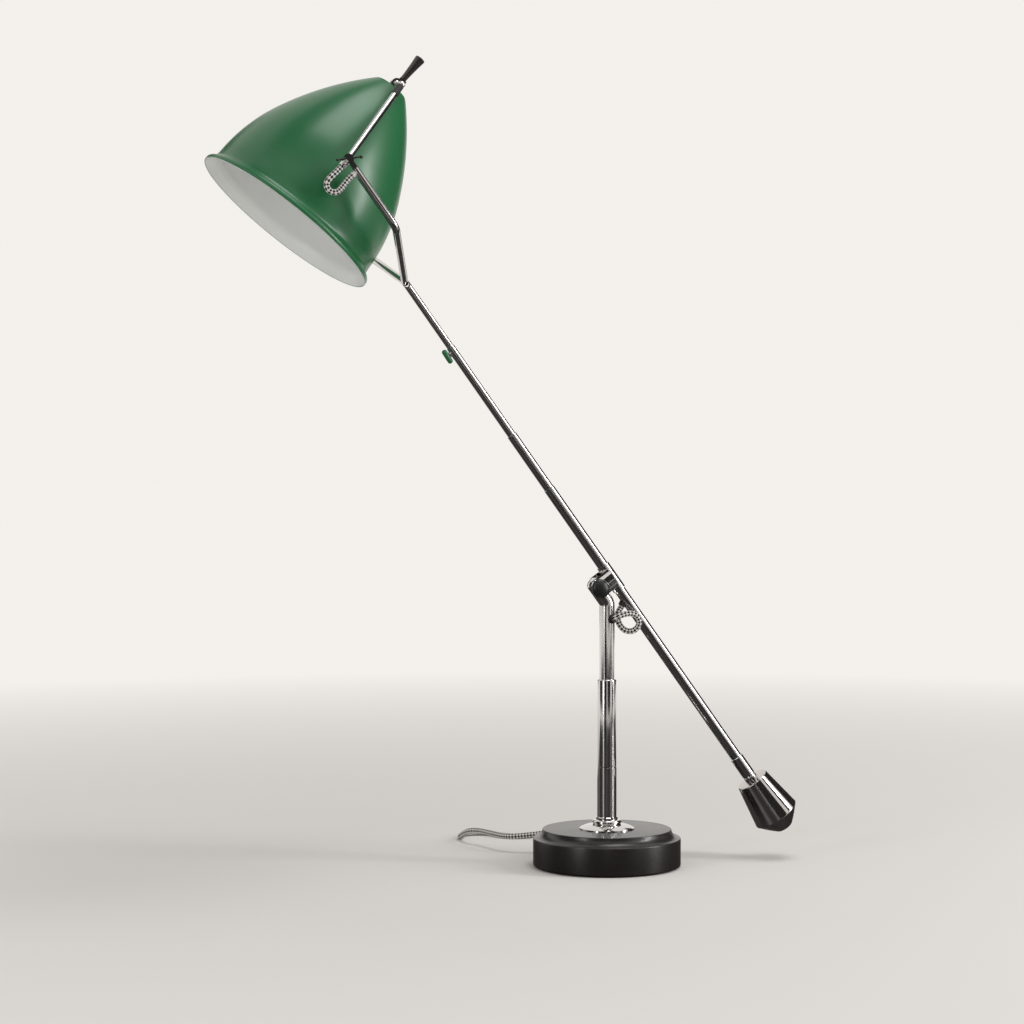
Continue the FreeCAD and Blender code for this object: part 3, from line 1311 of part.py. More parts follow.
def make_mains_lead():
    """Lead on the table: a free stretch, the coil, and the tail with its plug."""
    knots = coil_knots()
    edges = []
    straight = D.lead_radius.value * 2
    first, last = knots[0], knots[-1]
    coil_start = first[0] - first[1] * straight
    coil_end = last[0] + last[1] * straight
    edges.append(Part.LineSegment(coil_start, first[0]).toShape())
    for (p, t), (q, s) in zip(knots, knots[1:]):
        edges.extend(biarc(p, t, q, s))
    edges.append(Part.LineSegment(last[0], coil_end).toShape())
    lead("mains_cord_coil", edges)
    print("   least self-gap {:.2f} mm".format(coil_gap(edges)))

    gland_way = Vector(cosine(D.gland_angle).value, sine(D.gland_angle).value, 0)
    face = gland_way * (D.base_radius + D.gland_proud - 2.5).value + Z * D.gland_height.value
    knee = face + gland_way * 15
    points = [face, knee] + [Vector(*p) for p in FLOOR_ROUTE] + [coil_start - first[1] * 21, coil_start]
    edges, radii = rounded_route(points)
    lead("mains_cord", edges, radii)

    tail = [RIGHT * right + BACK * back + Z * up for right, back, up in TAIL_ROUTE]
    edges, radii = rounded_route([coil_end] + tail + [plug_point(-4.5)])
    lead("mains_cord_tail", edges, radii)


def coil_gap(edges):
    """Least free space between two turns, measured on points along the coil's middle line."""
    track = []
    for e in edges:
        track += e.discretize(16)[:-1]
    least = 1e9
    skip = 60
    for i, p in enumerate(track):
        for q in track[i + skip :]:
            least = min(least, (p - q).Length)
    return least - 2 * D.lead_radius.value


# ---------------------------------------------------------------- plug
PLUG_AT = (24, 100)  # tail end of the plug, to the right of and behind the lamp
PLUG_HEIGHT = 6.9


def plug_point(behind):
    """A point on the plug's axis, some way behind its tail."""
    return RIGHT * (PLUG_AT[0] + behind) + BACK * PLUG_AT[1] + Z * PLUG_HEIGHT


def make_plug():
    """Flat two-pin plug: x runs from its tail to its pins."""
    corners = [(18, 5.6), (23, 12.5), (28, 16.4), (41, 17.6), (46, 13)]
    body = plate(corners + [(x, -y) for x, y in reversed(corners)], PLUG_HEIGHT - 0.1, "XY_Plane")
    relief = DOC.addObject("Part::Cone", "Relief")
    relief.Radius1, relief.Radius2, relief.Height = 4.2, 5.8, 20
    place(relief, 0, 0, 0, Y, 90)
    solid = cut(
        fuse(body, relief),
        sideways(D.lead_radius + 0.02, -1, 4.5),
        sideways(2, 40, 50, 9.3),
        sideways(2, 40, 50, -9.3),
    )
    pins = [
        fuse(sideways(1.95, 40.2, 64, side * 9.3), ball(1.95, 64, side * 9.3)) for side in (-1, 1)
    ]
    spot = plug_point(0)
    for thing, label in ((solid, "plug_body"), (group(*pins), "plug_pins")):
        thing.Placement = Placement(spot, Rotation(X, -RIGHT))
        node(thing, label)


# ---------------------------------------------------------------- build and write
def main():
    make_base()
    make_post()
    make_arm()
    make_thumbscrew()
    make_fork()
    make_pivot_screws()
    make_yoke()
    make_shade()
    lead_loops()
    make_mains_lead()
    make_plug()
    DOC.recompute()
    wrong = [o.Label for o in DOC.Objects if "Invalid" in o.State or "Error" in o.State]
    for piece in NODES:
        if piece.Shape.isNull() or not piece.Shape.isValid():
            wrong.append(piece.Label)
    if wrong:
        raise RuntimeError("not built: " + ", ".join(wrong))
    os.makedirs("parts", exist_ok=True)
    for piece in NODES:
        piece.Shape.exportStep("parts/{}.step".format(piece.Label))
    print(len(NODES), "pieces")


main()
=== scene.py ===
"""Counterweight balance desk lamp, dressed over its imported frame. Sizes are in metres."""

import json
import logging
import math
from dataclasses import dataclass, field
from enum import Enum
from typing import Callable, Iterable, Sequence

import bmesh
import bpy
from mathutils import Matrix, Quaternion, Vector

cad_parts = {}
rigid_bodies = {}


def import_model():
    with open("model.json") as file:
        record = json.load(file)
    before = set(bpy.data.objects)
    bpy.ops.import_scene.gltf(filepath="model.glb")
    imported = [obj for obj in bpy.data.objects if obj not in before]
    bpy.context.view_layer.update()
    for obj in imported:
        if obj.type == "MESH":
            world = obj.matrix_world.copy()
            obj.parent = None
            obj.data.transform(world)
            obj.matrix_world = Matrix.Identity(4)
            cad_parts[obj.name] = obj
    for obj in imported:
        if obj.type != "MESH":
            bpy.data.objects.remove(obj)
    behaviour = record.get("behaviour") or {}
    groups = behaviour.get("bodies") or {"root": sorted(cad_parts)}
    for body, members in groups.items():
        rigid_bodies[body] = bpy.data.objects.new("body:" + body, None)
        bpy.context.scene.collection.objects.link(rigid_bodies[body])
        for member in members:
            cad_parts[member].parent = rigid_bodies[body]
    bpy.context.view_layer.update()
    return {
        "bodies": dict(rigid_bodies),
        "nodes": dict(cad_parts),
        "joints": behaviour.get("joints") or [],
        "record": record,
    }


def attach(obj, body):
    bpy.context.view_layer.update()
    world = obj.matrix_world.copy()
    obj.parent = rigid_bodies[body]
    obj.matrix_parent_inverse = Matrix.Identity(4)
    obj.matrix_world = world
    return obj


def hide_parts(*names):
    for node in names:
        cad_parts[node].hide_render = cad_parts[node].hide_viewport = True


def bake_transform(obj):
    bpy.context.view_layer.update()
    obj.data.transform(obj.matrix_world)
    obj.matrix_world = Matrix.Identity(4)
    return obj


LOG = logging.getLogger("balance_lamp")
MM = 0.001
CORNER = math.radians(32)
Point = tuple[float, float]
Spot = tuple[float, float, float]


# ---------------------------------------------------------------- places
@dataclass(frozen=True)
class Seat:
    """A place in the lamp: millimetres in the XZ plane, and a lean about +Y in degrees."""

    x: float = 0.0
    z: float = 0.0
    lean: float = 0.0

    def matrix(self) -> Matrix:
        """The move from this seat's own metres to the lamp's."""
        place = Matrix.Translation((self.x * MM, 0.0, self.z * MM))
        return place @ Matrix.Rotation(math.radians(self.lean), 4, "Y")


UPRIGHT = Seat()
ARM = Seat(3.967, 293.874, -36.0)
POST_HEAD = Seat(-11.0, 283.0, -36.0)
YOKE = Seat(-288.75, 696.764, 40.15)
SHADE = Seat(-330.864, 643.63, 38.4)


class Bend(Enum):
    """The side that an arc bulges to, on the way from its start to its end."""

    LEFT = 1.0
    RIGHT = -1.0


# ---------------------------------------------------------------- shader groups
def new_group(name: str, inputs: Sequence[tuple[str, float]], outputs: Sequence[str]) -> bpy.types.NodeTree:
    """Start a shader node group.

    Args:
        name: the group's name.
        inputs: its float inputs with their defaults.
        outputs: its float outputs.

    Returns:
        The new group.
    """
    tree = bpy.data.node_groups.new(name, "ShaderNodeTree")
    for label, value in inputs:
        made = tree.interface.new_socket(label, in_out="INPUT", socket_type="NodeSocketFloat")
        made.default_value = value
    for label in outputs:
        tree.interface.new_socket(label, in_out="OUTPUT", socket_type="NodeSocketFloat")
    tree.nodes.new("NodeGroupInput")
    tree.nodes.new("NodeGroupOutput")
    return tree


def ends(tree: bpy.types.NodeTree) -> tuple[bpy.types.Node, bpy.types.Node]:
    """A group's input and output nodes."""
    first = next(n for n in tree.nodes if n.bl_idname == "NodeGroupInput")
    last = next(n for n in tree.nodes if n.bl_idname == "NodeGroupOutput")
    return first, last


def maths(tree: bpy.types.NodeTree, operation: str, *values: object) -> bpy.types.NodeSocket:
    """Add a math node.

    Args:
        tree: where it goes.
        operation: Blender's name of the operation.
        values: sockets or numbers, one for each input.

    Returns:
        Its output.
    """
    node = tree.nodes.new("ShaderNodeMath")
    node.operation = operation
    for socket, value in zip(node.inputs, values):
        if isinstance(value, bpy.types.NodeSocket):
            tree.links.new(value, socket)
        else:
            socket.default_value = value
    return node.outputs[0]


def handled_surface() -> bpy.types.NodeTree:
    """Fine and broad unevenness of a surface that hands and cloths have been over."""
    inputs = (("Fine scale", 900.0), ("Broad scale", 30.0), ("Base", 0.1), ("Spread", 0.05))
    tree = new_group("HandledSurface", inputs, ("Roughness", "Height"))
    first, last = ends(tree)
    coords = tree.nodes.new("ShaderNodeTexCoord")
    noises = []
    for label in ("Fine scale", "Broad scale"):
        noise = tree.nodes.new("ShaderNodeTexNoise")
        noise.inputs["Detail"].default_value = 4.0
        tree.links.new(coords.outputs["Object"], noise.inputs["Vector"])
        tree.links.new(first.outputs[label], noise.inputs["Scale"])
        noises.append(noise.outputs["Fac"])
    mixed = maths(tree, "MULTIPLY_ADD", noises[0], 0.35, maths(tree, "MULTIPLY", noises[1], 0.65))
    centred = maths(tree, "SUBTRACT", mixed, 0.5)
    rough = maths(tree, "MULTIPLY_ADD", centred, first.outputs["Spread"], first.outputs["Base"])
    tree.links.new(rough, last.inputs["Roughness"])
    tree.links.new(mixed, last.inputs["Height"])
    return tree


def turned_grain() -> bpy.types.NodeTree:
    """Fine open grain that shows through a thin dark finish."""
    tree = new_group("TurnedGrain", (("Scale", 60.0), ("Stretch", 9.0)), ("Grain", "Height"))
    first, last = ends(tree)
    coords = tree.nodes.new("ShaderNodeTexCoord")
    split = tree.nodes.new("ShaderNodeSeparateXYZ")
    join = tree.nodes.new("ShaderNodeCombineXYZ")
    tree.links.new(coords.outputs["Object"], split.inputs[0])
    tree.links.new(split.outputs["X"], join.inputs["X"])
    tree.links.new(maths(tree, "MULTIPLY", split.outputs["Y"], first.outputs["Stretch"]), join.inputs["Y"])
    tree.links.new(maths(tree, "MULTIPLY", split.outputs["Z"], first.outputs["Stretch"]), join.inputs["Z"])
    noise = tree.nodes.new("ShaderNodeTexNoise")
    noise.inputs["Detail"].default_value = 6.0
    tree.links.new(join.outputs[0], noise.inputs["Vector"])
    tree.links.new(first.outputs["Scale"], noise.inputs["Scale"])
    tree.links.new(noise.outputs["Fac"], last.inputs["Grain"])
    tree.links.new(noise.outputs["Fac"], last.inputs["Height"])
    return tree


def braid_checks() -> bpy.types.NodeTree:
    """Two crossing sets of plied threads, read from a lead's own UV map in metres."""
    inputs = (("Around", 3.0), ("Pitch", 0.0068), ("Thread", 12.0))
    tree = new_group("BraidChecks", inputs, ("Pale", "Height"))
    first, last = ends(tree)
    uv = tree.nodes.new("ShaderNodeTexCoord")
    split = tree.nodes.new("ShaderNodeSeparateXYZ")
    tree.links.new(uv.outputs["UV"], split.inputs[0])
    around = maths(tree, "MULTIPLY", split.outputs["X"], first.outputs["Around"])
    onward = maths(tree, "DIVIDE", split.outputs["Y"], first.outputs["Pitch"])
    slant = maths(tree, "ADD", around, onward)
    left = maths(tree, "FRACT", slant)
    right = maths(tree, "FRACT", maths(tree, "SUBTRACT", around, onward))
    over_left = maths(tree, "GREATER_THAN", left, 0.5)
    over_right = maths(tree, "GREATER_THAN", right, 0.5)
    pale = maths(tree, "ABSOLUTE", maths(tree, "SUBTRACT", over_left, over_right))
    swell_left = maths(tree, "SINE", maths(tree, "MULTIPLY", left, math.pi * 2.0))
    swell_right = maths(tree, "SINE", maths(tree, "MULTIPLY", right, math.pi * 2.0))
    swell = maths(tree, "ABSOLUTE", maths(tree, "MULTIPLY", swell_left, swell_right))
    threads = maths(tree, "SINE", maths(tree, "MULTIPLY", slant, first.outputs["Thread"]))
    height = maths(tree, "MULTIPLY_ADD", threads, 0.12, swell)
    tree.links.new(pale, last.inputs["Pale"])
    tree.links.new(height, last.inputs["Height"])
    return tree


class Groups:
    """The shader groups, each built once."""

    def __init__(self) -> None:
        """Build the three groups."""
        self.handled = handled_surface()
        self.grain = turned_grain()
        self.braid = braid_checks()


# ---------------------------------------------------------------- finishes
@dataclass(frozen=True)
class Finish:
    """A finish of the lamp: colour, gloss, and how uneven the surface is."""

    name: str
    colour: Spot
    metal: float = 0.0
    rough: float = 0.3
    spread: float = 0.1
    coat: float = 0.0
    coat_rough: float = 0.1
    bump: float = 0.02
    fine: float = 900.0
    broad: float = 30.0
    sheen: float = 0.0
    tint: float = 0.12
    relief: float = 0.0004

    def start(self) -> tuple[bpy.types.Material, bpy.types.NodeTree, bpy.types.Node]:
        """A new material with its shader, dressed with this finish's plain values."""
        made = bpy.data.materials.new(self.name)
        made.use_nodes = True
        tree = made.node_tree
        shader = tree.nodes["Principled BSDF"]
        shader.inputs["Base Color"].default_value = (*self.colour, 1.0)
        shader.inputs["Metallic"].default_value = self.metal
        shader.inputs["Coat Weight"].default_value = self.coat
        shader.inputs["Coat Roughness"].default_value = self.coat_rough
        shader.inputs["Sheen Weight"].default_value = self.sheen
        return made, tree, shader

    def group(self, tree: bpy.types.NodeTree, group: bpy.types.NodeTree, **values: float) -> bpy.types.Node:
        """Place a shader group in a material.

        Args:
            tree: the material's nodes.
            group: the group to place.
            values: the group's inputs, with underscores for spaces.

        Returns:
            The group's node.
        """
        node = tree.nodes.new("ShaderNodeGroup")
        node.node_tree = group
        for label, value in values.items():
            node.inputs[label.replace("_", " ")].default_value = value
        return node

    def raise_from(
        self, tree: bpy.types.NodeTree, shader: bpy.types.Node, height: bpy.types.NodeSocket
    ) -> None:
        """Feed a height into the shader's normal through a bump as deep as the relief in metres."""
        bump = tree.nodes.new("ShaderNodeBump")
        bump.inputs["Strength"].default_value = self.bump
        bump.inputs["Distance"].default_value = self.relief
        tree.links.new(height, bump.inputs["Height"])
        tree.links.new(bump.outputs["Normal"], shader.inputs["Normal"])

    def shade_between(
        self, tree: bpy.types.NodeTree, shader: bpy.types.Node, mask: bpy.types.NodeSocket, other: Spot
    ) -> None:
        """Mix the base colour toward another one by a mask."""
        mix = tree.nodes.new("ShaderNodeMix")
        mix.data_type = "RGBA"
        mix.inputs["A"].default_value = (*self.colour, 1.0)
        mix.inputs["B"].default_value = (*other, 1.0)
        tree.links.new(mask, mix.inputs["Factor"])
        tree.links.new(mix.outputs["Result"], shader.inputs["Base Color"])

    def build(self, groups: Groups) -> bpy.types.Material:
        """Make the material: uneven gloss, a fine bump and a slight play of colour."""
        made, tree, shader = self.start()
        scales = {"Fine_scale": self.fine, "Broad_scale": self.broad}
        node = self.group(tree, groups.handled, Base=self.rough, Spread=self.spread, **scales)
        tree.links.new(node.outputs["Roughness"], shader.inputs["Roughness"])
        deeper = tuple(c * (1.0 - self.tint) for c in self.colour)
        self.shade_between(tree, shader, node.outputs["Height"], deeper)
        self.raise_from(tree, shader, node.outputs["Height"])
        return made


@dataclass(frozen=True)
class WoodFinish(Finish):
    """Turned wood under a dark finish."""

    grain_scale: float = 60.0
    grain_gain: float = 2.2
    grain_lift: float = 0.004

    def build(self, groups: Groups) -> bpy.types.Material:
        """Make the material: grain in colour and relief, under a thin coat."""
        made, tree, shader = self.start()
        node = self.group(tree, groups.grain, Scale=self.grain_scale)
        lighter = tuple(c * self.grain_gain + self.grain_lift for c in self.colour)
        self.shade_between(tree, shader, node.outputs["Grain"], lighter)
        rough = self.group(tree, groups.handled, Base=self.rough, Spread=self.spread)
        tree.links.new(rough.outputs["Roughness"], shader.inputs["Roughness"])
        self.raise_from(tree, shader, node.outputs["Height"])
        return made


@dataclass(frozen=True)
class BraidFinish(Finish):
    """Braided textile in two colours."""

    pale: Spot = (0.78, 0.76, 0.72)
    relief: float = 0.0006

    def build(self, groups: Groups) -> bpy.types.Material:
        """Make the material: checks in colour, plies in relief."""
        made, tree, shader = self.start()
        node = self.group(tree, groups.braid)
        self.shade_between(tree, shader, node.outputs["Pale"], self.pale)
        shader.inputs["Roughness"].default_value = self.rough
        self.raise_from(tree, shader, node.outputs["Height"])
        return made


@dataclass(frozen=True)
class OpalFinish(Finish):
    """Opal glass."""

    milk: float = 0.3

    def build(self, groups: Groups) -> bpy.types.Material:
        """Make the material: milky, with a little light through it."""
        made, tree, shader = self.start()
        shader.inputs["Subsurface Weight"].default_value = self.milk
        node = self.group(tree, groups.handled, Base=self.rough, Spread=self.spread)
        tree.links.new(node.outputs["Roughness"], shader.inputs["Roughness"])
        return made


CHROME = Finish(
    "polished_chrome", (0.72, 0.71, 0.70), metal=1.0, rough=0.08, spread=0.06, bump=0.002, fine=260.0, tint=0.05
)
WEIGHT_CHROME = Finish(
    "turned_chrome", (0.62, 0.59, 0.58), metal=1.0, rough=0.08, spread=0.06, bump=0.003, fine=260.0, tint=0.05
)
ZINC = Finish("zinc_steel", (0.55, 0.55, 0.53), metal=1.0, rough=0.38, spread=0.2, bump=0.08)
IRON = Finish("raw_iron", (0.09, 0.088, 0.085), metal=0.7, rough=0.7, spread=0.3, bump=0.5, fine=500.0)
BRASS = Finish("turned_brass", (0.72, 0.52, 0.2), metal=1.0, rough=0.25, spread=0.15, bump=0.05)
BLACK_WOOD = WoodFinish(
    "black_lacquered_wood", (0.0085, 0.007, 0.006), rough=0.33, spread=0.14, coat=0.25, coat_rough=0.2, bump=0.1
)
HANDLE_WOOD = WoodFinish(
    "black_turned_handle", (0.008, 0.0075, 0.007), rough=0.26, coat=0.5, bump=0.08, grain_scale=160.0
)
FELT = Finish("black_felt", (0.012, 0.012, 0.012), rough=0.95, spread=0.05, bump=0.6, fine=2600.0, sheen=0.4)
GREEN = Finish(
    "green_lacquer", (0.019, 0.155, 0.054), rough=0.33, coat=0.12, coat_rough=0.2, tint=0.16
)
INSIDE = Finish("white_enamel", (0.86, 0.88, 0.87), rough=0.42, spread=0.12, coat=0.1, bump=0.03, tint=0.05)
# pale green for the shade's mouth edge: a painted highlight, not a colour the shade has
MOUTH_EDGE_HIGHLIGHT = Finish("painted_highlight_mouth_edge", (0.42, 0.55, 0.46), rough=0.3, spread=0.1, bump=0.02)
BLACK_PLASTIC = Finish("black_plastic", (0.016, 0.016, 0.016), rough=0.34, spread=0.16, bump=0.08, fine=1600.0)
RUBBER = Finish("black_rubber", (0.014, 0.014, 0.014), rough=0.62, spread=0.15, bump=0.15, fine=1800.0)
HOLDER = Finish("holder_plastic", (0.7, 0.7, 0.67), rough=0.3, spread=0.1, bump=0.03)
OPAL = OpalFinish("opal_glass", (0.86, 0.86, 0.83), rough=0.16, spread=0.06)
CAP_METAL = Finish("rolled_cap", (0.7, 0.69, 0.66), metal=1.0, rough=0.3, spread=0.15, bump=0.05)
BRAID = BraidFinish("textile_lead", (0.016, 0.015, 0.015), rough=0.86, bump=0.9, sheen=0.3)
ALL_FINISHES = (
    CHROME, WEIGHT_CHROME, ZINC, IRON, BRASS, BLACK_WOOD, HANDLE_WOOD, FELT, GREEN, INSIDE, MOUTH_EDGE_HIGHLIGHT,
    BLACK_PLASTIC, RUBBER, HOLDER, OPAL, CAP_METAL, BRAID,
)


class Paintshop:
    """Gives each finish's material, built once."""

    def __init__(self) -> None:
        """Build every material."""
        groups = Groups()
        self.made = {finish.name: finish.build(groups) for finish in ALL_FINISHES}

    def __call__(self, finish: Finish) -> bpy.types.Material:
        """The material of a finish."""
        return self.made[finish.name]


# ---------------------------------------------------------------- shapes
def bulge(start: Point, end: Point, radius: float, bend: Bend, steps: int) -> list[Point]:
    """Points along an arc between two points of an outline.

    Args:
        start: where it starts.
        end: where it ends.
        radius: its radius.
        bend: the side that it bulges to.
        steps: how many stretches it is drawn in.

    Returns:
        The points after the start, the end included.
    """
    a, b = Vector(start), Vector(end)
    middle, way = (a + b) / 2, b - a
    side = Vector((-way.y, way.x)).normalized() * bend.value
    deep = math.sqrt(max(radius * radius - way.length_squared / 4, 0.0))
    centre = middle - side * deep
    first = math.atan2(a.y - centre.y, a.x - centre.x)
    last = math.atan2(b.y - centre.y, b.x - centre.x)
    sweep = (last - first + math.pi) % (2 * math.pi) - math.pi
    points = []
    for i in range(1, steps + 1):
        angle = first + sweep * i / steps
        points.append((centre.x + radius * math.cos(angle), centre.y + radius * math.sin(angle)))
    return points


def new_object(name: str, data: bpy.types.ID) -> bpy.types.Object:
    """A new object of some data, in the scene."""
    made = bpy.data.objects.new(name, data)
    bpy.context.scene.collection.objects.link(made)
    return made


def as_piece(name: str, shape: bmesh.types.BMesh) -> bpy.types.Object:
    """Turn a bmesh that faces outward into a smooth piece with crisp corners, and free it."""
    mesh = bpy.data.meshes.new(name)
    shape.to_mesh(mesh)
    shape.free()
    normals = mesh.attributes.get("custom_normal")
    if normals is not None:
        mesh.attributes.remove(normals)
    mesh.shade_smooth()
    mesh.set_sharp_from_angle(angle=CORNER)
    return new_object(name, mesh)


def seated_piece(name: str, shape: bmesh.types.BMesh, seat: Seat) -> bpy.types.Object:
    """Turn a bmesh in a seat's millimetres into a piece, placed in its mesh and faced outward.

    Args:
        name: the piece's name.
        shape: the bmesh, freed here.
        seat: where its millimetres go.

    Returns:
        The new object.
    """
    bmesh.ops.remove_doubles(shape, verts=shape.verts, dist=1e-3)
    bmesh.ops.recalc_face_normals(shape, faces=shape.faces)
    bmesh.ops.transform(shape, matrix=seat.matrix() @ Matrix.Scale(MM, 4), verts=shape.verts)
    return as_piece(name, shape)


def lathe(
    name: str, outline: Sequence[Point], seat: Seat = UPRIGHT, steps: int = 96
) -> bpy.types.Object:
    """Spin an outline of (radius, height) in millimetres about a seat's own axis.

    Args:
        name: the piece's name.
        outline: the profile's points.
        seat: the axis.
        steps: stretches in a turn.

    Returns:
        The turned piece.
    """
    shape = bmesh.new()
    verts = [shape.verts.new((r, 0.0, z)) for r, z in outline]
    pairs = list(zip(verts, verts[1:]))
    if outline[0][0] != 0.0 or outline[-1][0] != 0.0:
        pairs.append((verts[-1], verts[0]))
    edges = [shape.edges.new(pair) for pair in pairs]
    turn = {"cent": (0, 0, 0), "axis": (0, 0, 1), "angle": math.tau}
    bmesh.ops.spin(shape, geom=verts + edges, steps=steps, use_merge=True, **turn)
    return seated_piece(name, shape, seat)


def tube(name: str, radius: float, bore: float, low: float, high: float, seat: Seat) -> bpy.types.Object:
    """A straight tube with a length along a seat's axis, in millimetres."""
    outline = [(bore, low), (radius, low), (radius, high), (bore, high)]
    return soften(lathe(name, outline, seat, 64), 0.18)


def soften(piece: bpy.types.Object, width: float, segments: int = 3) -> bpy.types.Object:
    """Round a piece's corners by a width in millimetres."""
    bevel = piece.modifiers.new("Soft corners", "BEVEL")
    bevel.width = width * MM
    bevel.segments = segments
    bevel.limit_method = "ANGLE"
    bevel.angle_limit = math.radians(38)
    bevel.harden_normals = True
    return piece


def smoothed_copy(node: bpy.types.Object, name: str) -> bpy.types.Object:
    """A copy of a frame's node with its points merged, so that round faces read as round."""
    shape = bmesh.new()
    shape.from_mesh(node.data)
    bmesh.ops.remove_doubles(shape, verts=shape.verts, dist=1e-6)
    return as_piece(name, shape)


def drawn_mesh(curve: bpy.types.Object) -> bpy.types.Mesh:
    """A new mesh of a curve as it is drawn."""
    bpy.context.view_layer.update()
    graph = bpy.context.evaluated_depsgraph_get()
    return bpy.data.meshes.new_from_object(curve.evaluated_get(graph))


def straight_points(curve: bpy.types.Object) -> list[Vector]:
    """The points that a curve's own line goes through, with no thickness on it."""
    mesh = drawn_mesh(curve)
    points = [v.co.copy() for v in mesh.vertices]
    bpy.data.meshes.remove(mesh)
    return points


def lead_tube(
    name: str, route: Iterable[Spot], radius: float, smooth: int = 8
) -> tuple[bpy.types.Object, list[Vector]]:
    """A lead along a smooth line, with a UV map that runs round it and, in metres, along it.

    Args:
        name: the piece's name.
        route: the line's control points in millimetres.
        radius: the lead's radius in millimetres.
        smooth: stretches between two control points.

    Returns:
        The lead, and the points that it follows.
    """
    data = bpy.data.curves.new(name, "CURVE")
    data.dimensions = "3D"
    data.resolution_u = smooth
    data.twist_mode = "MINIMUM"
    line = data.splines.new("NURBS")
    spots = [Vector(p) * MM for p in route]
    line.points.add(len(spots) - 1)
    for point, spot in zip(line.points, spots):
        point.co = (*spot, 1.0)
    line.order_u = 3
    line.use_endpoint_u = True
    curve = new_object(name + "_line", data)
    path = straight_points(curve)
    data.bevel_depth = radius * MM
    data.bevel_resolution = 6
    data.fill_mode = "FULL"
    data.use_fill_caps = True
    mesh = drawn_mesh(curve)
    bpy.data.objects.remove(curve)
    mesh.name = name
    wrap_uv(mesh, path)
    mesh.shade_smooth()
    return new_object(name, mesh), path


def wrap_uv(mesh: bpy.types.Mesh, path: Sequence[Vector]) -> None:
    """Give a lead's mesh a UV map: once round across, metres along."""
    ring = len(mesh.vertices) // len(path)
    along = [0.0]
    for a, b in zip(path, path[1:]):
        along.append(along[-1] + (b - a).length)
    layer = mesh.uv_layers[0] if mesh.uv_layers else mesh.uv_layers.new(name="LeadMap")
    for face in mesh.polygons:
        spots = [mesh.loops[i].vertex_index for i in face.loop_indices]
        turns = [(v % ring) / ring for v in spots]
        wraps = max(turns) - min(turns) > 0.5
        for loop, vertex, turn in zip(face.loop_indices, spots, turns):
            across = turn + 1.0 if wraps and turn < 0.5 else turn
            layer.data[loop].uv = (across, along[min(vertex // ring, len(along) - 1)])


# ---------------------------------------------------------------- assembly base class
@dataclass
class Assembly:
    """A group of pieces that ride on one body of the frame."""

    frame: dict
    paint: Paintshop
    body: str = "base"
    pieces: list[bpy.types.Object] = field(default_factory=list)

    def fit(
        self, piece: bpy.types.Object, finish: Finish, *nodes: str, body: str | None = None
    ) -> bpy.types.Object:
        """Dress a piece, put it on its body and let it stand for nodes of the frame.

        Args:
            piece: the new piece.
            finish: its finish.
            nodes: the nodes that it replaces.
            body: the body it rides on, if not the assembly's own.

        Returns:
            The piece.
        """
        piece.data.materials.clear()
        piece.data.materials.append(self.paint(finish))
        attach(piece, body or self.body)
        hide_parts(*nodes)
        self.pieces.append(piece)
        LOG.info("%s on %s", piece.name, body or self.body)
        return piece

    def carry(
        self, finish: Finish, *nodes: str, width: float = 0.0, body: str | None = None
    ) -> None:
        """Dress smoothed copies of nodes whose shape is right already.

        Args:
            finish: their finish.
            nodes: the nodes to copy and replace.
            width: how wide their corners are rounded, in millimetres.
            body: the body they ride on, if not the assembly's own.
        """
        for node in nodes:
            piece = smoothed_copy(self.frame["nodes"][node], node + "_dressed")
            if width:
                soften(piece, width, 2)
            self.fit(piece, finish, node, body=body)

    def build(self) -> None:
        """Make the assembly's pieces."""
        raise NotImplementedError


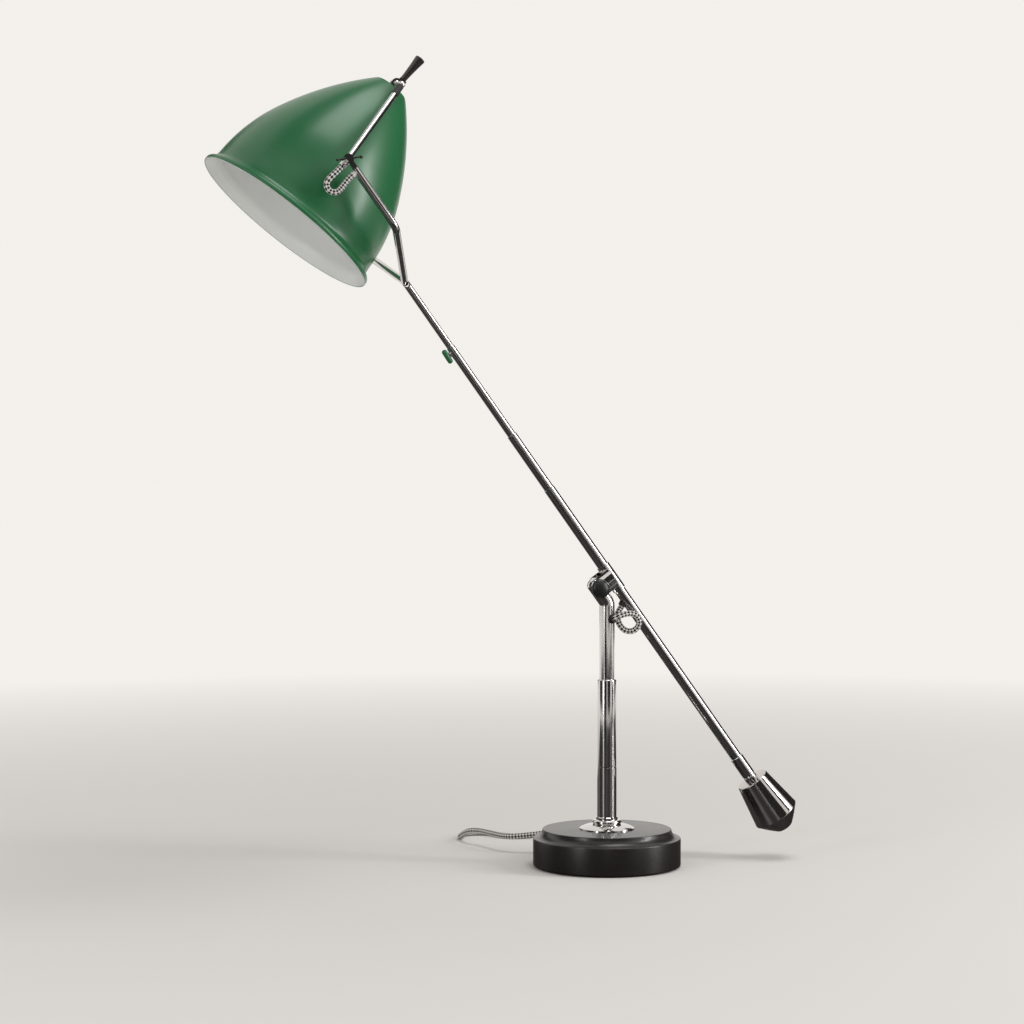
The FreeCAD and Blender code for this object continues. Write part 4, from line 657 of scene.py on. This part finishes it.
# ---------------------------------------------------------------- the lamp's assemblies
@dataclass
class WeightedBase(Assembly):
    """Turned wooden base with its weight, felt, clamp and flange."""

    radius: float = 75.0
    wall_top: float = 29.5
    top: float = 38.3
    top_radius: float = 65.0
    ease: float = 1.2
    flange_radius: float = 27.8
    felt: float = 1.5
    recess_radius: float = 58.4
    recess_top: float = 16.9

    def wood(self) -> None:
        """The turned body with its cove, and the recess under it."""
        r, ease, wall, top, low = self.radius, self.ease, self.wall_top, self.top, self.felt
        edge_low, edge_high = (self.top_radius + 0.5, top - 0.8), (self.top_radius - 0.5, top)
        outline = [(self.recess_radius, low), (r - ease, low)]
        outline += bulge((r - ease, low), (r, low + ease), ease, Bend.RIGHT, 4)
        outline += [(r, wall - ease)]
        outline += bulge((r, wall - ease), (r - ease, wall), ease, Bend.RIGHT, 5)
        outline += [(r - 2 * ease, wall)]
        outline += bulge((r - 2 * ease, wall), edge_low, 9.3, Bend.LEFT, 10)
        outline += bulge(edge_low, edge_high, 0.9, Bend.RIGHT, 4)
        outline += [(6.2, top), (6.2, 29.3), (16.0, 29.3)]
        outline += [(16.0, self.recess_top), (self.recess_radius, self.recess_top)]
        self.fit(lathe("turned_base", outline, steps=160), BLACK_WOOD, "base_body")

    def flange(self) -> None:
        """The bright flange with its bead and neck."""
        low = self.top
        outline = [(9.8, low), (self.flange_radius, low), (self.flange_radius, low + 1.0)]
        outline += bulge((self.flange_radius, low + 1.0), (15.4, low + 4.8), 26.0, Bend.RIGHT, 12)
        outline += [(13.6, low + 5.4)]
        outline += bulge((13.6, low + 5.4), (13.6, low + 9.3), 2.05, Bend.RIGHT, 10)
        outline += [(11.0, low + 9.7), (11.0, low + 11.5), (10.3, low + 12.2), (9.8, low + 12.2)]
        self.fit(lathe("base_flange_turned", outline), CHROME, "base_flange")

    def build(self) -> None:
        """Make the base."""
        self.wood()
        self.flange()
        pad = lathe("felt_pad", [(0.0, 0.0), (71.6, 0.0), (72.0, 0.4), (72.0, self.felt), (0.0, self.felt)])
        self.fit(pad, FELT, "base_felt_pad")
        self.fit(tube("foot_tube", 9.75, 8.45, self.top, 101.0, UPRIGHT), CHROME, "post_foot_tube")
        self.carry(IRON, "base_weight")
        self.carry(ZINC, "base_weight_screws", "base_clamp_nut", "base_threaded_tube")
        self.carry(ZINC, "swivel_spindle", "swivel_retaining_nut")
        self.carry(BLACK_PLASTIC, "cord_gland", width=0.4)


@dataclass
class SwivelPost(Assembly):
    """Turning sleeve and the stem with its bent head."""

    body: str = "post"
    sleeve_radius: float = 9.6
    shoulder: float = 190.4

    def build(self) -> None:
        """Make the post."""
        r, top = self.sleeve_radius, self.shoulder
        outline = [(8.52, 101.5), (r - 0.35, 101.5), (r, 101.85), (r, top - 1.75)]
        outline += bulge((r, top - 1.75), (r - 1.75, top), 1.75, Bend.RIGHT, 8)
        outline += [(7.78, top), (7.78, 166.0), (8.52, 166.0)]
        self.fit(lathe("turning_sleeve", outline), CHROME, "post_sleeve")
        cap = [(0.0, 4.8), (6.5, 4.8), (6.5, 6.0), (7.75, 6.0)]
        cap += bulge((7.75, 6.0), (0.0, 11.0), 8.5, Bend.RIGHT, 14)
        self.fit(lathe("domed_head_cap", cap, POST_HEAD, 64), CHROME, "post_head_cap")
        self.carry(CHROME, "post_stem")
        self.carry(BLACK_PLASTIC, "swivel_washer")
        self.carry(RUBBER, "post_grommet")
        self.carry(BRASS, "tilt_bush")


@dataclass
class BalanceArm(Assembly):
    """Tee, telescoping tubes and the counterweight."""

    body: str = "arm"

    def counterweight(self) -> None:
        """The turned counterweight, widest near its end."""
        outline = [(0.0, -323.7), (5.0, -323.6)]
        outline += bulge((5.0, -323.6), (9.2, -322.6), 6.0, Bend.RIGHT, 5)
        outline += bulge((9.2, -322.6), (23.3, -307.0), 160.0, Bend.RIGHT, 8)
        outline += bulge((23.3, -307.0), (24.05, -304.9), 1.5, Bend.RIGHT, 5)
        outline += [(17.0, -261.5)]
        outline += bulge((17.0, -261.5), (16.1, -260.7), 0.9, Bend.RIGHT, 4)
        outline += [(0.0, -260.7)]
        self.fit(lathe("turned_counterweight", outline, ARM, 128), WEIGHT_CHROME, "counterweight")

    def ferrule(self) -> None:
        """The grooved ferrule above the counterweight."""
        outline = [(5.85, -260.7), (6.8, -260.7), (6.8, -256.1)]
        outline += bulge((6.8, -256.1), (6.8, -254.3), 1.0, Bend.LEFT, 6)
        outline += [(6.8, -231.6), (6.3, -231.0), (5.85, -231.0)]
        self.fit(lathe("grooved_ferrule", outline, ARM, 72), CHROME, "counterweight_ferrule")

    def build(self) -> None:
        """Make the arm."""
        self.counterweight()
        self.ferrule()
        self.fit(tube("step_tube", 5.2, 4.4, 93.7, 177.9, ARM), CHROME, "arm_step_tube")
        self.carry(CHROME, "arm_main_tube", "arm_guide_tube", "arm_tee", "tilt_cap_nut")
        self.carry(ZINC, "counterweight_spigot")
        self.carry(RUBBER, "arm_grommet")


@dataclass
class ClampKnob(Assembly):
    """Domed knob on the tilt bolt, a little longer than it is wide."""

    body: str = "tilt_clamp"
    half_width: float = 9.3
    half_length: float = 9.9
    dome: float = 5.6
    skirt: float = 0.9
    place: Spot = (-18.5, -13.2, 0.0)

    def build(self) -> None:
        """Make the knob from a squashed ball, cut under its widest line."""
        shape = bmesh.new()
        bmesh.ops.create_uvsphere(shape, u_segments=64, v_segments=40, radius=1.0)
        scale = Matrix.Diagonal((self.half_width, self.dome, self.half_length, 1.0))
        upright = Matrix.Rotation(math.radians(90), 4, "X")
        bmesh.ops.transform(shape, matrix=scale @ upright, verts=shape.verts)
        whole = shape.verts[:] + shape.edges[:] + shape.faces[:]
        cut = bmesh.ops.bisect_plane(
            shape, geom=whole, plane_co=(0, self.skirt, 0), plane_no=(0, 1, 0), clear_outer=True
        )
        rim = [e for e in cut["geom_cut"] if isinstance(e, bmesh.types.BMEdge)]
        bmesh.ops.contextual_create(shape, geom=rim)
        bmesh.ops.translate(shape, vec=self.place, verts=shape.verts)
        piece = seated_piece("oval_tilt_knob", shape, ARM)
        self.fit(soften(piece, 0.3), BLACK_PLASTIC, "tilt_knob")
        self.carry(ZINC, "tilt_bolt")


@dataclass
class Thumbscrew(Assembly):
    """Small green-winged screw that holds the sliding tube."""

    body: str = "thumbscrew"

    def build(self) -> None:
        """Make the screw's wing and stem."""
        self.carry(GREEN, "thumbscrew_wing")
        self.carry(CHROME, "thumbscrew_stem")


@dataclass
class SlidingFork(Assembly):
    """Sliding tube, fork prongs and eyes, with the guide bush and the tommy screw."""

    body: str = "head"

    def build(self) -> None:
        """Make the fork."""
        self.carry(CHROME, "head_tube", "fork_prong_near", "fork_prong_far")
        self.carry(CHROME, "fork_eye_near", "fork_eye_far", "far_pivot_screw")
        self.carry(BLACK_PLASTIC, "guide_bush", body="slider")
        self.carry(CHROME, "tommy_screw", body="pivot_clamp")
        self.carry(BLACK_PLASTIC, "tommy_bar", body="pivot_clamp")


@dataclass
class ShadeYoke(Assembly):
    """Yoke rods, top clamp and the turned handle."""

    body: str = "yoke"

    def build(self) -> None:
        """Make the yoke."""
        self.carry(CHROME, "yoke_rod_near", "yoke_rod_far", "yoke_shoe_near", "yoke_shoe_far")
        self.carry(CHROME, "top_clamp", "hinge_screw")
        self.carry(RUBBER, "rod_sleeves")
        outline = [(0.0, 118.0), (2.8, 118.0), (3.1, 118.3)]
        outline += bulge((3.1, 118.3), (5.3, 145.6), 320.0, Bend.LEFT, 10)
        outline += bulge((5.3, 145.6), (4.6, 146.7), 0.9, Bend.RIGHT, 5)
        outline += bulge((4.6, 146.7), (0.0, 147.6), 12.0, Bend.RIGHT, 6)
        self.fit(lathe("turned_handle", outline, YOKE, 64), HANDLE_WOOD, "handle")


@dataclass
class BellShade(Assembly):
    """Spun shade with its rolled lip, cap, stud, lamp holder and bulb."""

    body: str = "shade"
    top: float = 170.3
    highlight_radius: float = 96.5
    highlight_height: float = 0.35

    def outside(self) -> list[Point]:
        """The outer outline from the mouth to the flat top."""
        line = [(97.3, 0.0)]
        line += bulge((97.3, 0.0), (98.3, 0.9), 1.0, Bend.RIGHT, 4)
        line += [(98.3, 2.6)]
        line += bulge((98.3, 2.6), (94.9, 6.4), 4.0, Bend.RIGHT, 8)
        line += bulge((94.9, 6.4), (92.0, 10.6), 6.5, Bend.LEFT, 8)
        line += [(91.45, 16.0)]
        line += bulge((91.45, 16.0), (75.9, 84.0), 175.0, Bend.RIGHT, 22)
        line += bulge((75.9, 84.0), (19.1, self.top), 328.5, Bend.RIGHT, 26)
        return line

    def inside(self) -> list[Point]:
        """The inner outline from the flat top down to the mouth."""
        line = [(6.0, self.top), (6.0, 169.3), (18.7, 169.3)]
        line += bulge((18.7, 169.3), (75.0, 83.6), 327.5, Bend.LEFT, 26)
        line += bulge((75.0, 83.6), (90.45, 16.0), 174.0, Bend.LEFT, 22)
        line += bulge((90.45, 16.0), (93.9, 6.0), 14.0, Bend.RIGHT, 10)
        line += [(96.8, 0.6)]
        return line

    def shell(self) -> None:
        """The spun shell: green outside, white inside, with a painted highlight on the edge at the mouth."""
        piece = lathe("spun_shade", self.outside() + self.inside(), SHADE, 192)
        self.fit(piece, GREEN, "shade_shell")
        piece.data.materials.append(self.paint(INSIDE))
        piece.data.materials.append(self.paint(MOUTH_EDGE_HIGHLIGHT))
        back = SHADE.matrix().inverted()
        for face in piece.data.polygons:
            centre = (back @ face.center) / MM
            normal = back.to_3x3() @ face.normal
            outward = normal.x * centre.x + normal.y * centre.y
            reach = math.hypot(centre.x, centre.y)
            # faces on the mouth's edge take the pale green of the painted highlight
            if centre.z < self.highlight_height and reach > self.highlight_radius:
                face.material_index = 2
            elif centre.z < 170.0 and (outward < 0.0 or normal.z < -0.5):
                face.material_index = 1

    def build(self) -> None:
        """Make the shade."""
        self.shell()
        cap = [(0.0, self.top), (18.0, self.top), (18.0, 171.1)]
        cap += bulge((18.0, 171.1), (17.4, 171.5), 0.5, Bend.RIGHT, 4)
        cap += [(0.0, 171.5)]
        self.fit(lathe("shade_cap_plate", cap, SHADE, 72), GREEN, "shade_cap")
        self.carry(CHROME, "shade_stud")
        self.carry(HOLDER, "lampholder", width=0.3)
        self.carry(CAP_METAL, "bulb_cap")
        bulb = [(0.0, 65.3)]
        bulb += bulge((0.0, 65.3), (22.5, 87.8), 22.5, Bend.RIGHT, 16)
        bulb += bulge((22.5, 87.8), (19.6, 98.9), 22.5, Bend.RIGHT, 6)
        bulb += [(12.0, 110.5), (8.6, 116.3), (8.6, 123.3), (0.0, 123.3)]
        self.fit(lathe("opal_bulb", bulb, SHADE, 72), OPAL, "bulb_glass")


# ---------------------------------------------------------------- leads
POST_LOOP: list[Spot] = [
    (1.5, -4, 250.5), (6.3, -11.7, 253.5), (13, -13, 256.6), (20.5, -12.8, 257.9), (27.4, -12.2, 255.6),
    (31.2, -11.2, 249.9), (30.3, -9.4, 243.2), (25, -6.6, 238.6), (18.2, -3.6, 239.2), (13.4, -1.2, 244.2),
    (11.2, -0.2, 250.8), (11, 0, 257.2), (15.9, 0, 264.0), (19.2, 0, 270.7),
]
HEAD_LOOP: list[Spot] = [
    (-293.3, -98.5, 691.4), (-297.5, -98.5, 686.4), (-308.8, -98.5, 676), (-309.5, -98.5, 670.2),
    (-306, -98.6, 665.6), (-300.2, -98.8, 664.9), (-295.6, -99.1, 668.4), (-287.9, -99.5, 679.5),
    (-280.6, -99.5, 684.8),
]
FLOOR_ROUTE: list[Spot] = [
    (-25.3, 72.2, 23.5), (-30.2, 86.4, 23.5), (-42, 97, 20.3), (-56.5, 103.7, 18.2), (-74, 112.4, 16.2),
    (-83, 139.5, 16.4), (-89.2, 165.5, 16), (-97.6, 177.4, 14.3), (-99.4, 190.6, 10), (-101.3, 206.5, 3.05),
    (-88, 235.3, 3.05), (-59.2, 231.7, 3.05), (-53.3, 203, 3.05), (-31.2, 194, 3.05), (-6, 209.6, 3.05),
    (20.2, 224.4, 3.05), (45.9, 229, 3.05), (65.9, 222.5, 3.05),
]
TAIL_ROUTE: list[Spot] = [
    (50, 176, 9.5), (50, 158, 9.5), (50, 139, 8.6), (50, 119, 7.2), (43, 107, 6.9), (31, 100, 6.9),
    (19.5, 100, 6.9),
]


@dataclass
class Leads(Assembly):
    """The mains lead with its coil and plug, and the two loops at the joints."""

    radius: float = 3.0
    coil_x: float = 56.2
    coil_y: float = 173.1
    coil_outer: float = 50.0
    coil_pitch: float = 6.5
    coil_layer: float = 6.45
    coil_turns: float = 4.25
    climb_turns: float = 0.6
    rest_height: float = 3.05
    points_in_turn: int = 16
    view_cos: float = 0.951
    view_sin: float = 0.309

    def beside(self, right: float, back: float, up: float) -> Spot:
        """A point to the right of the lamp and behind it, as the camera sees them, and up."""
        cos, sin = self.view_cos, self.view_sin
        return (right * cos + back * sin, -right * sin + back * cos, up)

    def coil(self) -> list[Spot]:
        """The coil's turns: in on the lower layer, out on the upper."""
        turns, cos, sin = self.coil_turns, self.view_cos, self.view_sin
        centre_right = self.coil_x * cos - self.coil_y * sin
        centre_back = self.coil_x * sin + self.coil_y * cos
        spots = []
        for i in range(int(turns * self.points_in_turn) + 1):
            gone = i / self.points_in_turn
            inward = min(gone, turns - gone)
            radius = self.coil_outer - self.coil_pitch * min(inward, turns / 2 - 0.125)
            climb = min(max((gone - turns / 2) / self.climb_turns + 0.5, 0.0), 1.0)
            angle = math.pi / 2 - math.tau * gone
            spread = radius / math.cos(math.pi / self.points_in_turn)
            right = centre_right + spread * math.cos(angle)
            back = centre_back + spread * math.sin(angle)
            spots.append(self.beside(right, back, self.rest_height + self.coil_layer * climb))
        return spots

    def mains(self) -> None:
        """The lead from the base to its plug."""
        tail = [self.beside(*spot) for spot in TAIL_ROUTE]
        route = FLOOR_ROUTE + self.coil() + tail
        lead, path = lead_tube("textile_mains_lead", route, self.radius)
        self.fit(lead, BRAID, "mains_cord", "mains_cord_coil", "mains_cord_tail", body="base")
        nodes = self.frame["nodes"]
        plug = soften(smoothed_copy(nodes["plug_body"], "plug_body_dressed"), 1.6, 4)
        pins = smoothed_copy(nodes["plug_pins"], "plug_pins_dressed")
        self.fit(plug, BLACK_PLASTIC, "plug_body", body="base")
        self.fit(pins, BRASS, "plug_pins", body="base")

    def loop(self, name: str, route: list[Spot], node: str, body: str, other: str) -> None:
        """A short loop of lead at a joint.

        Args:
            name: the piece's name.
            route: its control points.
            node: the frame's node that it replaces.
            body: the body at its start; not used.
            other: the body at its end; not used.
        """
        lead, path = lead_tube(name, route, self.radius, 6)
        lead.data.materials.clear()
        lead.data.materials.append(self.paint(BRAID))
        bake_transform(lead)
        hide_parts(node)
        self.pieces.append(lead)

    def build(self) -> None:
        """Make the leads."""
        self.mains()
        self.loop("post_lead_loop", POST_LOOP, "post_loop", "post", "arm")
        self.loop("head_lead_loop", HEAD_LOOP, "head_loop", "yoke", "head")


# ---------------------------------------------------------------- studio
@dataclass(frozen=True)
class Panel:
    """A lamp's face or a dark card: its place, width and height, its power and its aim."""

    name: str
    spot: Spot
    size: tuple[float, float]
    power: float = 0.0
    aim: Spot = (-0.15, 0.0, 0.45)

    def facing(self) -> Quaternion:
        """The turn that points it at its aim."""
        return (Vector(self.aim) - Vector(self.spot)).to_track_quat("-Z", "Y")


LAMPS = (
    Panel("key", (2.0, -1.1, 1.0), (0.45, 1.7), 30.0),
    Panel("top", (0.3, -0.3, 2.4), (1.2, 1.0), 15.0),
    Panel("left_fill", (-2.2, -1.3, 0.8), (0.3, 1.5), 9.0),
)
CARDS = (
    Panel("left_card", (-1.9, -2.4, 0.9), (2.0, 2.8)),
    Panel("middle_card", (0.3, -3.2, 0.9), (2.3, 2.8)),
    Panel("right_card", (2.5, -1.9, 0.9), (1.2, 2.8)),
    Panel("rear_right_card", (2.3, 1.9, 0.9), (1.5, 2.8)),
    Panel("rear_left_card", (-1.1, 2.8, 0.9), (1.3, 2.8)),
    Panel("right_side_card", (2.9, 0.5, 1.1), (2.0, 3.4)),
    Panel("left_side_card", (-2.9, 0.2, 1.1), (2.2, 3.4)),
    Panel("high_card", (0.2, -0.4, 3.2), (3.4, 3.0)),
    Panel("low_card", (0.0, -0.9, 0.001), (4.4, 3.2), aim=(0.0, -0.9, 1.0)),
)


@dataclass
class Studio:
    """Plain floor, soft lights and the camera at the photograph's angle."""

    distance: float = 2.588
    height: float = 0.4247
    azimuth: float = -18.0
    turn_left: float = 2.134
    pitch_down: float = 1.4355
    focal_pixels: float = 2554.0
    frame_pixels: float = 1024.0
    sensor: float = 36.0
    floor_reach: float = 14.0
    floor_colour: Spot = (0.80, 0.78, 0.75)
    pale: Spot = (0.90, 0.875, 0.84)
    fill_colour: Spot = (1.0, 0.98, 0.95)
    fill_strength: float = 0.4
    card_colour: Spot = (0.02, 0.018, 0.017)
    fade_start: float = 0.35
    fade: float = 1.9

    def camera(self) -> None:
        """The camera."""
        data = bpy.data.cameras.new("Camera")
        data.sensor_fit = "HORIZONTAL"
        data.sensor_width = self.sensor
        data.lens = self.sensor * self.focal_pixels / self.frame_pixels
        data.clip_end = 60.0
        camera = new_object("Camera", data)
        angle = math.radians(self.azimuth)
        across, back = math.sin(angle) * self.distance, -math.cos(angle) * self.distance
        camera.location = (across, back, self.height)
        lean = math.radians(90.0 - self.pitch_down)
        camera.rotation_euler = (lean, 0.0, math.radians(self.azimuth + self.turn_left))
        bpy.context.scene.camera = camera

    def floor(self) -> None:
        """The floor, which fades into the pale surroundings away from the lamp and keeps its shadow."""
        shape = bmesh.new()
        bmesh.ops.create_grid(shape, x_segments=8, y_segments=8, size=self.floor_reach)
        mesh = bpy.data.meshes.new("studio_floor")
        shape.to_mesh(mesh)
        shape.free()
        floor = new_object("studio_floor", mesh)
        made = bpy.data.materials.new("floor_paper")
        made.use_nodes = True
        tree = made.node_tree
        shader = tree.nodes["Principled BSDF"]
        shader.inputs["Base Color"].default_value = (*self.floor_colour, 1.0)
        shader.inputs["Roughness"].default_value = 0.8
        shader.inputs["Specular IOR Level"].default_value = 0.0
        coords = tree.nodes.new("ShaderNodeTexCoord")
        reach = tree.nodes.new("ShaderNodeVectorMath")
        reach.operation = "LENGTH"
        tree.links.new(coords.outputs["Object"], reach.inputs[0])
        slope = 1.0 / self.fade
        start = -self.fade_start / self.fade
        gone = maths(tree, "MULTIPLY_ADD", reach.outputs["Value"], slope, start)
        gone = maths(tree, "MINIMUM", maths(tree, "MAXIMUM", gone, 0.0), 1.0)
        shown = self.shown_rays(tree)
        glow = tree.nodes.new("ShaderNodeEmission")
        glow.inputs["Color"].default_value = (*self.pale, 1.0)
        mix = tree.nodes.new("ShaderNodeMixShader")
        tree.links.new(maths(tree, "MULTIPLY", gone, shown), mix.inputs["Fac"])
        tree.links.new(shader.outputs[0], mix.inputs[1])
        tree.links.new(glow.outputs[0], mix.inputs[2])
        tree.links.new(mix.outputs[0], tree.nodes["Material Output"].inputs["Surface"])
        mesh.materials.append(made)

    def shown_rays(self, tree: bpy.types.NodeTree) -> bpy.types.NodeSocket:
        """One for the rays that show the surroundings: from the camera, bright metal and glass."""
        rays = tree.nodes.new("ShaderNodeLightPath")
        shown = maths(tree, "MAXIMUM", rays.outputs["Is Camera Ray"], rays.outputs["Is Glossy Ray"])
        return maths(tree, "MAXIMUM", shown, rays.outputs["Is Transmission Ray"])

    def light(self, panel: Panel) -> None:
        """A soft rectangular light."""
        data = bpy.data.lights.new(panel.name, "AREA")
        data.shape = "RECTANGLE"
        data.size, data.size_y = panel.size
        data.energy = panel.power
        light = new_object(panel.name, data)
        light.location = panel.spot
        light.rotation_euler = panel.facing().to_euler()

    def card(self, panel: Panel) -> None:
        """A dark card beside the set, which gives bright metal something dark to show."""
        shape = bmesh.new()
        bmesh.ops.create_grid(shape, x_segments=1, y_segments=1, size=0.5)
        place = Matrix.Translation(panel.spot) @ panel.facing().to_matrix().to_4x4()
        move = place @ Matrix.Diagonal((*panel.size, 1.0, 1.0))
        bmesh.ops.transform(shape, matrix=move, verts=shape.verts)
        mesh = bpy.data.meshes.new(panel.name)
        shape.to_mesh(mesh)
        shape.free()
        card = new_object(panel.name, mesh)
        card.visible_camera = False
        card.visible_shadow = False
        card.visible_diffuse = False
        made = bpy.data.materials.new(panel.name + "_paper")
        made.use_nodes = True
        shader = made.node_tree.nodes["Principled BSDF"]
        shader.inputs["Base Color"].default_value = (*self.card_colour, 1.0)
        mesh.materials.append(made)

    def world(self) -> None:
        """Pale surroundings for the camera and for bright metal, and a softer fill for the rest."""
        world = bpy.data.worlds.new("Studio")
        bpy.context.scene.world = world
        world.use_nodes = True
        tree = world.node_tree
        fill = tree.nodes["Background"]
        fill.inputs["Color"].default_value = (*self.fill_colour, 1.0)
        fill.inputs["Strength"].default_value = self.fill_strength
        seen = tree.nodes.new("ShaderNodeBackground")
        seen.inputs["Color"].default_value = (*self.pale, 1.0)
        seen.inputs["Strength"].default_value = 1.0
        mix = tree.nodes.new("ShaderNodeMixShader")
        tree.links.new(self.shown_rays(tree), mix.inputs["Fac"])
        tree.links.new(fill.outputs[0], mix.inputs[1])
        tree.links.new(seen.outputs[0], mix.inputs[2])
        tree.links.new(mix.outputs[0], tree.nodes["World Output"].inputs["Surface"])

    def build(self) -> None:
        """Set up all but the camera, which stands before the lamp is made."""
        self.floor()
        self.world()
        for lamp in LAMPS:
            self.light(lamp)
        for card in CARDS:
            self.card(card)
        bpy.context.scene.view_settings.view_transform = "Standard"


def main() -> None:
    """Dress the lamp and set up the studio."""
    logging.basicConfig(level=logging.INFO, format="%(message)s")
    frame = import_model()
    studio = Studio()
    studio.camera()
    paint = Paintshop()
    assemblies = (
        Leads, WeightedBase, SwivelPost, BalanceArm, ClampKnob, Thumbscrew, SlidingFork, ShadeYoke,
        BellShade,
    )
    for kind in assemblies:
        assembly = kind(frame, paint)
        assembly.build()
        LOG.info("%s: %d pieces", kind.__name__, len(assembly.pieces))
    studio.build()


if __name__ == "__main__":
    main()
